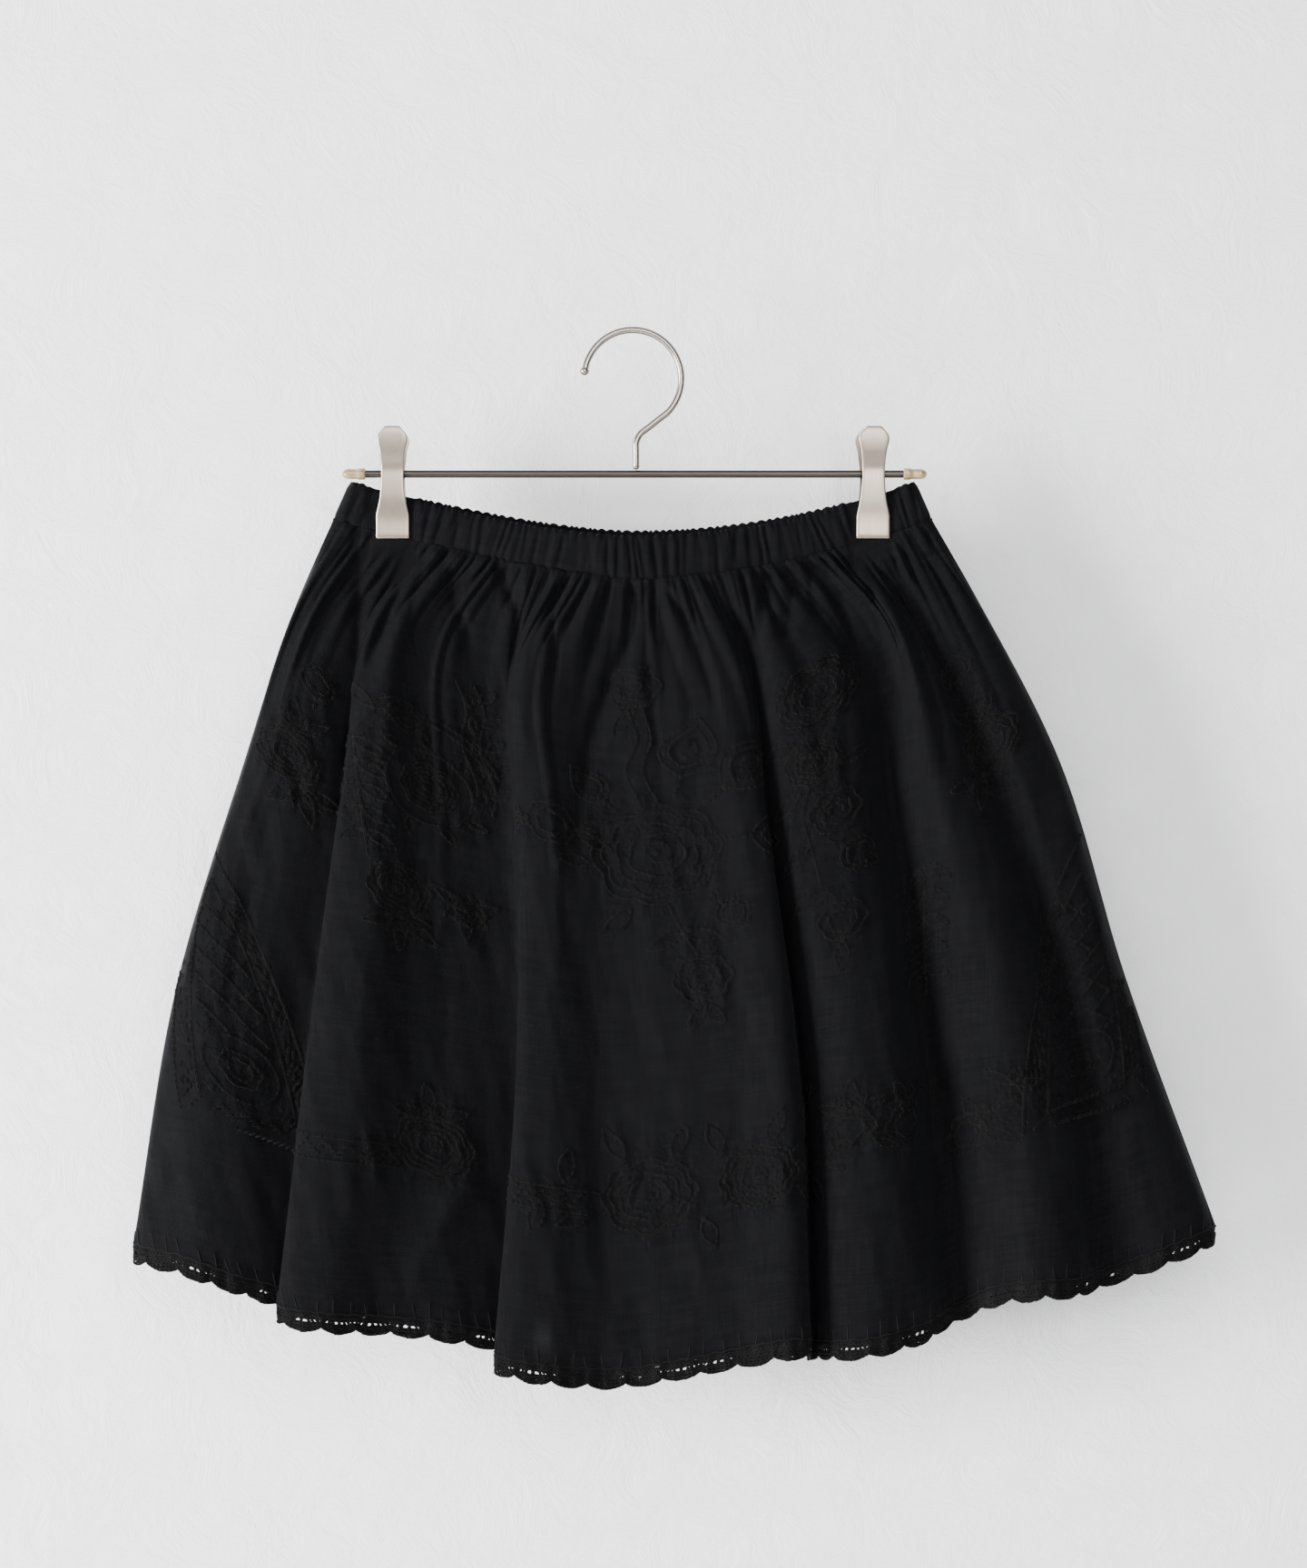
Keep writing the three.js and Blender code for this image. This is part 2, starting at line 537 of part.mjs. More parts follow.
function clip(name, x, degrees) {
  const turn = THREE.MathUtils.degToRad(degrees);
  const jawOut = BAND_PINCHED_OUT + SEAM_GAP + JAW_HALF * Math.sin(turn);
  const group = new THREE.Group();
  group.position.set(x, 0, 0);
  group.rotation.z = turn;
  group.add(meshOf(`${name}_front`, plateGeometry(-1, 0, jawOut), steelMaterial));
  group.add(meshOf(`${name}_back`, plateGeometry(1, CLIP_BACK_EXTRA, jawOut), steelMaterial));
  const spring = meshOf(`${name}_spring`, springGeometry(turn), steelMaterial);
  spring.position.z = BAR_Z;
  group.add(spring);
  return group;
}

function hanger(wasm) {
  const group = new THREE.Group();
  group.add(meshOf("hanger_hook", hookGeometry(wasm), steelMaterial));
  const bar = meshOf("hanger_bar", barGeometry(), steelMaterial);
  bar.position.set(BAR_SHIFT, 0, BAR_Z);
  group.add(bar);
  const capStart = BAR_HALF - CAP_LENGTH * CAP_BORED + SEAM_GAP;
  for (const [side, sign] of [["left", -1], ["right", 1]]) {
    const cap = meshOf(`hanger_cap_${side}`, capGeometry(), capMaterial);
    cap.rotation.z = (-sign * Math.PI) / 2;
    cap.position.set(BAR_SHIFT + sign * capStart, 0, BAR_Z);
    group.add(cap);
  }
  group.add(clip("clip_left", -CLIP_X, 0));
  group.add(clip("clip_right", CLIP_X, CLIP_TURN));
  return group;
}

// The back's folds in the same form as the front's, placed between the two side seams.
function backFolds() {
  const left = FRONT_FOLDS[0];
  const right = FRONT_FOLDS[FRONT_FOLDS.length - 1];
  const inner = BACK_FOLDS.map(({ name, place, out }) => ({
    name,
    out,
    x: left.x.map((x, k) => x + (right.x[k] - x) * (place[0] + ((place[1] - place[0]) * k) / 3)),
    longer: left.longer + (right.longer - left.longer) * place[1],
  }));
  return [left, ...inner, right];
}

const wasm = await Module();
wasm.setup();

const front = makeSide(-1, FRONT_FOLDS, FRONT_BOW, 0);
const back = makeSide(1, backFolds(), BACK_BOW, BACK_LIFT);

const skirt = new THREE.Group();
skirt.add(meshOf("skirt_front", panelGeometry(front), clothMaterial));
skirt.add(meshOf("skirt_back", panelGeometry(back), clothMaterial));
skirt.add(meshOf("waistband_front", bandGeometry(front), clothMaterial));
skirt.add(meshOf("waistband_back", bandGeometry(back), clothMaterial));
skirt.add(meshOf("hem_lace_front", laceGeometry(front), laceMaterial));
skirt.add(meshOf("hem_lace_back", laceGeometry(back), laceMaterial));

const part = new THREE.Group();
part.add(skirt);
part.add(hanger(wasm));

export default part;
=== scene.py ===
"""A gathered mini skirt with tone-on-tone embroidery and a crochet hem, held in the two clips of a
wire hanger. Shapes are worked out in millimetres, +Z up, the front facing -Y, with the origin inside
the crown of the hanger's hook, and become metres when a mesh is made."""

import math

import bmesh
import bpy
import numpy as np
from bpy.props import FloatProperty, FloatVectorProperty, IntProperty, PointerProperty
from mathutils import Matrix, Vector


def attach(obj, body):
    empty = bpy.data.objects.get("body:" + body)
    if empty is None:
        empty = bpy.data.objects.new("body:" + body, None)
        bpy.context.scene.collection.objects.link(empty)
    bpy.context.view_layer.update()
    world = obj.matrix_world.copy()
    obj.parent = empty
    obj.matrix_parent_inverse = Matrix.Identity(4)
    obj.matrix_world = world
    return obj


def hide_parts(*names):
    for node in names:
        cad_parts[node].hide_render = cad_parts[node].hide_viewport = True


bl_info = {
    "name": "Embroidered mini skirt on a clip hanger",
    "version": (1, 0, 0),
    "blender": (4, 5, 0),
    "location": "View3D > Sidebar > Skirt",
    "description": "Builds the skirt's cloth, embroidery and crochet, its hanger, and a small studio",
    "category": "Object",
}

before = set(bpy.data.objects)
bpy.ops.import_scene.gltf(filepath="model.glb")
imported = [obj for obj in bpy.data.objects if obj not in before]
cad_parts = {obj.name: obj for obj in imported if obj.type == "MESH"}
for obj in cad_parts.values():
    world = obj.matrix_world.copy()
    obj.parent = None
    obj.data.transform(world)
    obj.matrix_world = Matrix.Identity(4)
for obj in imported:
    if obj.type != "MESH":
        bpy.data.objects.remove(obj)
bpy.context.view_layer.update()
BODY = "root"
MM = 0.001

# Waist: the band's two edges sag between the clips, more sharply on the right than on the left
WAIST_HALF_TOP = 156
WAIST_HALF_SEAM = 165
TOP_EDGE = {"middle": -112.8, "rise": 31, "power_left": 1.6, "power_right": 2.05}
SEAM_EDGE = {"middle": -135.8, "rise": 33, "power_left": 1.35, "power_right": 1.8}
BACK_LIFT = 3.5
BAND_PINCHED_OUT = 3
BAND_CORNER_OUT = 4.6
FRONT_BOW = 8
BACK_BOW = 6
CORNER_SHARPNESS = 24
HALF_SEAM_GAP = 0.15
SEAM_GAP = 0.3

# Panels
HELD_DROP = 0.02  # the cloth hangs straight from the seam for this share of its drop
DROP_CENTRE = 424
DROP_SIDE_LOSS = 11
LEVELS = [0, 0.12, 0.35, 0.65, 1]
OUT_LEVELS = [0, HELD_DROP, 0.12, 0.5, 1]
YOKE_SHARE = 0.42
LINE_STEPS = 200

# The front's folds from the left side seam: name, x at the yoke, knee, low and hem levels, how far
# forward of the mid-plane the fold lies half-way down and at the hem, and how much longer the cloth
# hangs there than the panel's own drop
FRONT_FOLDS = [
    ("seam_left", (-185, -215, -251, -275), (0, 0), 2),
    ("turn_left", (-183, -212, -248, -272), (12, 14), 2),
    ("panel_left", (-172, -197, -229, -244), (22, 30), 1),
    ("panel_left_inner", (-159, -179, -206, -216), (20, 26), 3),
    ("valley_left", (-147, -156, -176, -186), (12, 14), 6),
    ("edge_a", (-140, -158, -174, -192), (32, 42), 14),
    ("ridge_a", (-128, -137, -150, -165), (36, 46), 13),
    ("shelf_b", (-112, -117, -122, -131), (22, 27), 8),
    ("ridge_b", (-95, -97, -97, -98), (16, 22), 5),
    ("valley_b", (-68, -67, -62, -66), (8, 9), 4),
    ("edge_c", (-60, -60, -62, -74), (37, 50), 12),
    ("ridge_c", (-52, -48, -47, -54), (41, 55), 16),
    ("valley_d", (-15, -16, -9, -6), (29, 41), 9),
    ("panel_e", (6, 13, 21, 26), (32, 44), 4),
    ("dip_e", (28, 40, 55, 60), (34, 46), 0),
    ("panel_f", (45, 62, 79, 84), (40, 52), 0),
    ("edge_f", (56, 73, 89, 95), (35, 46), 2),
    ("valley_g", (63, 75, 92, 98), (12, 15), 3),
    ("edge_h", (70, 86, 103, 110), (32, 41), 4),
    ("ridge_h", (90, 108, 126, 131), (36, 46), 9),
    ("slope_h", (110, 128, 146, 157), (28, 38), 10),
    ("valley_i", (126, 143, 160, 178), (8, 14), 6),
    ("edge_j", (137, 155, 177, 197), (24, 31), 2),
    ("ridge_j", (143, 166, 201, 223), (34, 43), 3),
    ("slope_j", (151, 182, 220, 242), (28, 36), 7),
    ("valley_k", (157, 197, 235, 258), (12, 18), 7),
    ("panel_l", (172, 212, 249, 289), (19, 25), 6),
    ("turn_right", (187, 229, 266, 317), (11, 12), 7),
    ("seam_right", (190, 234, 271, 321), (0, 0), 7),
]

# The back's folds: name, place between the side seams at the yoke and at the hem, and depth
BACK_FOLDS = [
    ("turn_left", (0.006, 0.006), (12, 14)),
    ("panel_left", (0.05, 0.06), (26, 30)),
    ("valley_1", (0.12, 0.13), (17, 18)),
    ("ridge_1", (0.17, 0.19), (32, 40)),
    ("slope_1", (0.22, 0.245), (28, 34)),
    ("valley_2", (0.28, 0.29), (17, 18)),
    ("ridge_2", (0.325, 0.335), (33, 42)),
    ("panel_2", (0.375, 0.395), (31, 38)),
    ("valley_3", (0.43, 0.445), (18, 20)),
    ("ridge_3", (0.475, 0.485), (34, 43)),
    ("panel_3", (0.54, 0.55), (32, 40)),
    ("valley_4", (0.6, 0.6), (18, 19)),
    ("ridge_4", (0.65, 0.645), (33, 42)),
    ("slope_4", (0.7, 0.7), (27, 33)),
    ("valley_5", (0.75, 0.745), (17, 18)),
    ("ridge_5", (0.8, 0.795), (31, 40)),
    ("panel_5", (0.86, 0.86), (27, 33)),
    ("valley_6", (0.905, 0.91), (18, 19)),
    ("panel_right", (0.955, 0.955), (22, 27)),
    ("turn_right", (0.994, 0.994), (12, 14)),
]

# Creases of the front that run down from the waist seam, as seen from the front: points (x, z), how
# deep the crease is (a ridge is negative) and its half width
FRONT_CREASES = [
    ("outer_left", [(-152, -104), (-151, -136), (-151, -179), (-152, -216)], 2.2, 3),
    ("left_of_clip", [(-122, -117), (-128, -141), (-141, -174), (-148, -208)], 3.4, 3.5),
    ("under_left_clip", [(-113, -121), (-120, -146), (-124, -172)], 1.6, 3),
    ("panel_a_top", [(-101, -124), (-98, -149), (-91, -169), (-85, -200)], 2.2, 4),
    ("pinch_b", [(-75, -127), (-69, -141), (-62, -158)], 3, 3),
    ("edge_c_top", [(-62, -136), (-65, -176), (-67, -245)], 2.4, 2.4),
    ("panel_c_soft", [(-33, -137), (-35, -170), (-38, -235)], 1, 5),
    ("valley_d_top", [
        (-2, -137), (3, -149), (1, -166), (-11, -189), (-24, -226), (-31, -280), (-27, -346),
    ], 4, 4.4),
    ("panel_e_left", [(24, -138), (25, -180), (26, -240)], -1.3, 6),
    ("panel_e_right", [(16, -138), (27, -154), (34, -169), (43, -196), (49, -232)], 2.6, 2.8),
    ("panel_f_left", [(44, -136), (52, -154), (67, -177)], 2.4, 3),
    ("panel_f_right", [(74, -131), (71, -151), (68, -175)], 3, 3),
    ("edge_h_top", [(89, -134), (86, -154), (79, -176)], 2, 3),
    ("ridge_h_right", [(104, -127), (114, -149), (123, -172), (127, -203)], 2.6, 3.4),
    ("edge_j_top", [(129, -136), (137, -166), (147, -206), (152, -252)], 2.4, 3),
    ("slope_j_thin", [(141, -131), (154, -171), (167, -211), (175, -258)], 2, 2.6),
    ("right_shoulder", [(160, -104), (172, -140), (188, -176)], 1.6, 3.4),
    ("left_panel_soft", [(-196, -250), (-214, -330), (-226, -410)], 1.6, 7),
    ("shelf_diagonal", [(-86, -462), (-110, -498), (-126, -536)], -2.4, 8),
    ("panel_c_top", [(-41, -137), (-44, -156), (-43, -181), (-46, -214)], 2.2, 2.2),
    ("panel_e_seam", [(8, -138), (11, -152), (12, -170)], 2.4, 2.4),
    ("ridge_h_seam", [(97, -129), (99, -143), (101, -158)], 2, 2.4),
    ("ridge_a_left", [(-133, -150), (-147, -186), (-158, -232), (-166, -282)], 1.8, 3.2),
    ("shelf_b_low", [(-104, -330), (-101, -380), (-104, -436)], 1.8, 9),
    ("edge_j_low", [(168, -396), (184, -458), (192, -522)], 3.2, 10),
    ("valley_i_low", [(150, -330), (160, -400), (168, -470)], 1.8, 7),
    ("valley_d_low", [(-26, -320), (-22, -400), (-18, -480), (-12, -572)], 1.8, 9),
    ("hem_left_dent", [(-258, -470), (-246, -492), (-238, -512)], 2, 6),
    ("right_panel_soft", [(232, -330), (252, -400), (268, -470)], 1.6, 8),
    ("panel_e_hem", [(4, -520), (7, -545), (10, -563)], 1.2, 6),
]
BACK_CREASES = [
    ("outer_left", [(-158, -103), (-157, -140), (-160, -186)], 2.4, 3),
    ("under_left_clip", [(-120, -118), (-125, -146), (-133, -190)], 3, 3.4),
    ("panel_1", [(-96, -124), (-92, -160), (-96, -214)], 2.4, 3.2),
    ("panel_2", [(-64, -129), (-58, -152), (-56, -192)], 2.8, 3),
    ("panel_2_soft", [(-34, -132), (-33, -190), (-36, -250)], 1.2, 6),
    ("middle_left", [(-14, -133), (-9, -158), (-11, -204)], 3.2, 3.2),
    ("middle_right", [(12, -133), (21, -156), (27, -186), (30, -238)], 2.6, 3),
    ("panel_3", [(43, -131), (50, -152), (49, -184)], 2.2, 3),
    ("panel_4", [(70, -129), (72, -156), (80, -210)], 3, 3.2),
    ("panel_4_soft", [(92, -126), (99, -170), (106, -232)], 1.4, 5),
    ("under_right_clip", [(122, -120), (131, -150), (141, -196)], 2.8, 3.2),
    ("outer_right", [(156, -104), (166, -146), (178, -200)], 2.2, 3),
    ("low_left", [(-176, -330), (-190, -420), (-202, -500)], 1.6, 8),
    ("low_middle", [(22, -400), (30, -470), (34, -530)], -2.4, 9),
    ("low_right", [(226, -360), (244, -430), (262, -500)], 1.8, 8),
]

# Cloth meshes
PANEL_COLUMNS = 380
PANEL_ROWS = 116
ROW_CROWDING = 1.35  # above 1, rows lie closer together near the waist
GATHERS = 42
GATHER_LENGTHS = [0.12, 0.2, 0.32, 0.5]  # shares of the drop
GATHER_ODDS = [0.2, 0.3, 0.3, 0.2]
FINE_GATHERS = 93  # small ones, at the seam alone
FINE_GATHER_HEIGHT = 0.18
EDGE_OF_CLOTH = 0.9999  # no place is looked up nearer to the cloth's two sides than this share
SHARP_CREASES = 44  # narrow creases among the gathers
CREASE_SLANT = 0.16
CREASE_LENGTHS = (0.09, 0.42)  # shares of the drop
CREASE_WIDTHS = (1.1, 2.2)
CREASE_DEPTHS = (0.3, 0.85)  # shares of the gathers' depth
CREASE_GAIN = 1.5
CREASE_SPREAD = 1.15  # how much wider a crease is than its half width in the table
HEM_PULL = 0.35  # the stitches at the hem draw the cloth in by this much
HEM_PULL_PITCH = 9.2
BAND_COLUMNS = 420
BAND_ROWS = 13
BAND_HEIGHT = 23
BAND_RUCHES = 48
RUCHE_FULLNESS = 1.3  # how much longer the band's cloth is than its seam line
FRILLS = 76  # small waves of the band's top edge
FRILL_OUT = 0.5
FRILL_UP = 1.3
CLIP_X = 132
JAW_HALF = 9.25
LACE_HALF_THICKNESS = 0.75  # the crochet hangs from the middle of the hem's own thickness
SCALLOPS = 40
CLOSED_SLOTS = 0.5  # share of the shells whose slot a row of loops crosses
TUCKED_IN = 0.5  # the panel's top edge goes this far in, and up, under the band
TUCKED_UP = 0.4
# Painted light: a patch of the front painted paler for the light that shows through the thin cloth there, and
# how much paler
SEE_THROUGH_LIGHT_PATCH = (-49, -549, 4.5, 7)  # x and z where it is seen, half width and half height
SEE_THROUGH_LIGHT_PALER = 1.7
INNERMOST = 1.2  # no crease reaches nearer to the mid-plane than this
WIDEST_STRETCH = 1.35  # where the cloth turns away from the front, a motif is at most this much wider
OUTERMOST_WEIGHT = 0.02  # of cloth that hides other cloth, the outer one is found
MOTIF_MARGIN = 8  # embroidery ends this far from a panel's sides, and a little further from its hem
HEM_MARGIN = 12
PUCKER_DEPTH = 0.4
# Painted shade: the embroidered ground's colour is made this much darker, for the shade among its puckers
WORKED_PAINTED_SHADE = 0.07

# The panels' soft unevenness: height, length of its waves across the cloth, how much it is drawn out
# down the cloth, and number of waves
UNEVEN_CLOTH = [(0.9, 70, 0.25, 5), (0.4, 26, 0.5, 5), (0.16, 11, 0.8, 6)]

# Looks
THREAD_PITCH = 0.0006
SLUBS_ACROSS = 820
SLUBS_ALONG = 38
WEAVE_TONES = (0.64, 1.38)
THREAD_TONES = (0.75, 1.35)
PLAIN_PUCKERS = 0.2  # share of the puckers' depth where the cloth isn't worked

# Stitches, in millimetres: the thread's radius, and a stitch's size as a share of its setting
CHAIN_THREAD = 0.5
CHAIN_LENGTH_SHARE = 0.95
CHAIN_WIDTH_SHARE = 0.62
CHAIN_UNEVENNESS = 0.14
CHAIN_LIFT = 0.22
CROCHET_THREAD = 0.78
CROCHET_LENGTH_SHARE = 1.5
CROCHET_WIDTH = 1.25
CROCHET_SEGMENTS = 6
CROCHET_UNEVENNESS = 0.16
BLANKET_LIFT = 0.12
THREAD_SIDES = 5

# The edging's rows of loops below the hem: how far down they are at a shell's two ends, how much
# further in its middle, how much of its unevenness they share, and how far forward they lie
SHELL_ROWS = [(4.5, 1.0, 0, 0.1), (5.2, 2.2, 0, -0.25), (5.4, 3.7, 1, 0.2)]
SHELL_POSTS = (0.04, 0.14, 0.24, 0.33, 0.5, 0.66, 0.76, 0.88)  # shares of a shell's width
HEADER_PITCH = 1.5
LACE_MARGIN = 0.6


def length_setting(name, description, default, least, most):
    """A length in metres that the panel shows in the scene's unit."""
    return FloatProperty(
        name=name, description=description, default=default, min=least, max=most, unit="LENGTH",
    )


def color_setting(name, description, default):
    """A colour as linear red, green and blue."""
    return FloatVectorProperty(
        name=name, description=description, default=default, min=0, max=1, subtype="COLOR",
    )


class ClothSettings(bpy.types.PropertyGroup):
    wall: length_setting("Cloth thickness", "Thickness of the panels' cloth", 0.0007, 0.0003, 0.003)
    band_wall: length_setting(
        "Band thickness", "Thickness of the doubled band with its elastic", 0.0019, 0.001, 0.004,
    )
    gather_depth: length_setting(
        "Gather depth", "Height of the deepest gather below the waist seam", 0.0048, 0, 0.008,
    )
    ruche_depth: length_setting("Ruche depth", "Height of the band's ruches", 0.002, 0, 0.005)
    color: color_setting("Cloth", "Colour of the cloth", (0.0031, 0.0031, 0.0035))


class ThreadSettings(bpy.types.PropertyGroup):
    chain_length: length_setting(
        "Chain stitch", "Length of one chain stitch of the embroidery", 0.0035, 0.002, 0.01,
    )
    chain_width: length_setting("Chain width", "Width of one chain stitch", 0.002, 0.001, 0.006)
    crochet_length: length_setting(
        "Crochet loop", "Length of one loop of the crochet edging", 0.0023, 0.001, 0.006,
    )
    blanket_spacing: length_setting(
        "Blanket stitch spacing", "Distance between two blanket stitches at the hem", 0.0092, 0.004, 0.03,
    )
    blanket_radius: length_setting(
        "Blanket thread", "Radius of the thread of the blanket stitches", 0.0004, 0.0002, 0.001,
    )
    seed: IntProperty(
        name="Seed", description="Seed of the small differences between stitches", default=7,
    )
    embroidery_color: color_setting(
        "Embroidery thread", "Colour of the embroidery thread", (0.0041, 0.0040, 0.0038),
    )
    crochet_color: color_setting("Crochet thread", "Colour of the crochet edging", (0.0040, 0.0039, 0.0040))


class HangerSettings(bpy.types.PropertyGroup):
    wire_color: color_setting("Wire", "Colour of the hook and the springs", (0.26, 0.23, 0.205))
    bar_color: color_setting("Bar", "Colour of the bar", (0.055, 0.048, 0.043))
    clip_color: color_setting("Clips", "Colour of the clips' plates", (0.3, 0.25, 0.205))
    cap_color: color_setting("End caps", "Colour of the bar's soft end caps", (0.25, 0.18, 0.085))


class StageSettings(bpy.types.PropertyGroup):
    wall_color: color_setting("Wall and floor", "Colour of the backdrop and the floor", (0.8, 0.8, 0.8))
    key_power: FloatProperty(
        name="Key light", description="Power of the large soft light at the upper left",
        default=330, min=0, unit="POWER",
    )
    world_strength: FloatProperty(
        name="Room light", description="Strength of the even light from all round", default=0.42, min=0,
    )


# Curves through tables of values

def through(levels, values, at):
    """Smooth curves through values at the levels, one for each row, their slopes weighted from both sides."""
    levels = np.asarray(levels, float)
    values = np.asarray(values, float)
    steps = np.diff(levels)
    rises = np.diff(values) / steps
    inner = (rises[..., :-1] * steps[1:] + rises[..., 1:] * steps[:-1]) / (steps[:-1] + steps[1:])
    slopes = np.concatenate([rises[..., :1], inner, rises[..., -1:]], axis=-1)
    i = np.searchsorted(levels[1:-1], at, side="left")
    span = steps[i]
    t = (at - levels[i]) / span
    start = values[..., i] * (1 + 2 * t) * (1 - t) ** 2 + slopes[..., i] * span * t * (1 - t) ** 2
    end = values[..., i + 1] * t * t * (3 - 2 * t) + slopes[..., i + 1] * span * t * t * (t - 1)
    return start + end


def rounded_curve(points, place):
    """Centripetal Catmull-Rom curves through rows of points, at places counted in points."""
    last = points.shape[1] - 1
    before = 2 * points[:, :1] - points[:, 1:2]
    after = 2 * points[:, -1:] - points[:, -2:-1]
    padded = np.concatenate([before, points, after], axis=1)
    i = np.minimum(np.floor(place).astype(int), last - 1)
    t = (place - i)[None, :, None]
    x0, x1, x2, x3 = (padded[:, i + k] for k in range(4))
    pairs = ((x0, x1), (x1, x2), (x2, x3))
    first, middle, third = (np.sqrt(np.linalg.norm(b - a, axis=-1, keepdims=True)) for a, b in pairs)
    middle = np.where(middle < 1e-4, 1.0, middle)
    first = np.where(first < 1e-4, middle, first)
    third = np.where(third < 1e-4, middle, third)
    t1 = ((x1 - x0) / first - (x2 - x0) / (first + middle) + (x2 - x1) / middle) * middle
    t2 = ((x2 - x1) / middle - (x3 - x1) / (middle + third) + (x3 - x2) / third) * middle
    c2 = -3 * x1 + 3 * x2 - 2 * t1 - t2
    c3 = 2 * x1 - 2 * x2 + t1 + t2
    return x1 + t1 * t + c2 * t**2 + c3 * t**3


def smooth_step(low, high, value):
    """0 below low, 1 above high and a smooth rise between them."""
    t = np.clip((value - low) / (high - low), 0, 1)
    return t * t * (3 - 2 * t)


def clip_free(x):
    """0 where a clip's jaws press the cloth flat, rising to 1 a little way off."""
    return np.clip((np.abs(np.abs(x) - CLIP_X) - JAW_HALF - 1.5) / 5, 0, 1)


def ripples(across, down, wave, count, seed):
    """Soft irregular waves between about -1 and 1, longer down the cloth than across it."""
    random = np.random.default_rng(seed)
    total = np.zeros(np.broadcast(across, down).shape)
    for _ in range(count):
        length = wave * random.uniform(0.7, 1.6)
        slant = random.normal(0, 0.35)
        phase = random.uniform(0, 2 * math.pi)
        total += np.sin(2 * math.pi * (across + slant * down) / length + phase + down / (2.2 * length))
    return total / math.sqrt(count)


def uneven_edges(count, spread, seed):
    """Places from -1 to 1, count steps apart, no two steps alike."""
    steps = 1 + spread * np.random.default_rng(seed).uniform(-1, 1, count)
    return 2 * np.concatenate([[0], np.cumsum(steps) / steps.sum()]) - 1


def cell(edges, at):
    """The step between uneven edges that each place lies in, and how far through that step it is."""
    i = np.clip(np.searchsorted(edges, at, side="right") - 1, 0, len(edges) - 2)
    return i, (at - edges[i]) / (edges[i + 1] - edges[i])


def unit(vectors):
    """The same directions with a length of 1."""
    return vectors / np.maximum(np.linalg.norm(vectors, axis=-1, keepdims=True), 1e-9)


def run_of(line):
    """Length of a line up to each of its points."""
    return np.concatenate([[0], np.cumsum(np.linalg.norm(np.diff(line, axis=0), axis=1))])


# The skirt's two sides

def band_out(share, bow):
    """How far the band's face is from the mid-plane at a share -1 to 1 of its half width."""
    x = np.abs(share) * WAIST_HALF_SEAM
    free = CLIP_X - JAW_HALF - 2
    belly = np.where(x < free, bow * np.cos(np.pi * np.minimum(x, free) / (2 * free)) ** 2, 0)
    held = (CLIP_X + JAW_HALF + 1) * (WAIST_HALF_SEAM / WAIST_HALF_TOP)
    beyond = np.clip((x - held) / (WAIST_HALF_SEAM - held), 0, 1)
    corner = (BAND_CORNER_OUT - BAND_PINCHED_OUT) * np.sin(np.pi * beyond / 2) ** 2
    return (BAND_PINCHED_OUT + belly + corner) * np.sqrt(1 - np.abs(share) ** CORNER_SHARPNESS)


def edge_z(edge, share, lift):
    """Height of one of the band's edges; lift raises its middle."""
    power = np.where(share < 0, edge["power_left"], edge["power_right"])
    return edge["middle"] + edge["rise"] * np.abs(share) ** power + lift * (1 - share * share)


class Side:
    """One side of the skirt: its sign (-1 for the front, 1 for the back), and its folds as lines of
    points down the drop, whose heights come from the cloth's own length."""

    def __init__(self, sign, folds, creases, bow, lift, seed):
        self.sign = sign
        self.creases = creases
        self.bow = bow
        self.lift = lift
        self.seed = seed
        x = np.array([fold[1] for fold in folds], float)
        out = np.array([fold[2] for fold in folds], float)
        along = np.concatenate([[0], np.cumsum(np.hypot(np.diff(x[:, 3]), np.diff(out[:, 1])))])
        self.hem_width = along[-1]
        self.shares = 2 * along / along[-1] - 1
        waist = band_out(self.shares, bow)
        yoke = waist + YOKE_SHARE * np.maximum(0, out[:, 0] - waist)
        self.x = np.column_stack([self.shares * WAIST_HALF_SEAM, x])
        self.out = np.column_stack([waist, waist, yoke, out])
        longer = np.array([fold[3] for fold in folds], float)
        self.drop = DROP_CENTRE - DROP_SIDE_LOSS * self.shares**2 + longer
        self.top = edge_z(SEAM_EDGE, self.shares, lift)

    def fold_points(self, drops):
        """The fold lines' points at each share of the drop: rows, folds, xyz."""
        fine = np.linspace(0, 1, LINE_STEPS + 1)
        x = through(LEVELS, self.x, fine)
        out = through(OUT_LEVELS, self.out, fine)
        length = self.drop[:, None] / LINE_STEPS
        fall = np.sqrt(np.maximum(0, length**2 - np.diff(x) ** 2 - np.diff(out) ** 2))
        z = self.top[:, None] - np.column_stack([np.zeros(len(x)), np.cumsum(fall, axis=1)])
        y = self.sign * np.maximum(out, HALF_SEAM_GAP)
        grid = np.stack([x, y, z], axis=-1)
        place = drops * LINE_STEPS
        i = np.minimum(place.astype(int), LINE_STEPS - 1)
        t = (place - i)[None, :, None]
        return (grid[:, i] * (1 - t) + grid[:, i + 1] * t).transpose(1, 0, 2)

    def waist(self, shares, half, edge, gap):
        """A line round the waist: half is its half width, edge its height, gap how far above that."""
        y = self.sign * np.maximum(band_out(shares, self.bow), HALF_SEAM_GAP)
        z = edge_z(edge, shares, self.lift) + gap * (1 + shares**8)
        return np.column_stack([shares * half, y, z])

    def surface(self, shares, drops):
        """Points of the panel's outer face: rows down the drop, columns from the left seam."""
        place = np.interp(shares, self.shares, np.arange(len(self.shares)))
        grid = rounded_curve(self.fold_points(np.maximum(drops, HELD_DROP)), place)
        hold = np.clip(1 - drops / HELD_DROP, 0, 1)[:, None, None]
        return grid * (1 - hold) + self.waist(shares, WAIST_HALF_SEAM, SEAM_EDGE, 0)[None] * hold


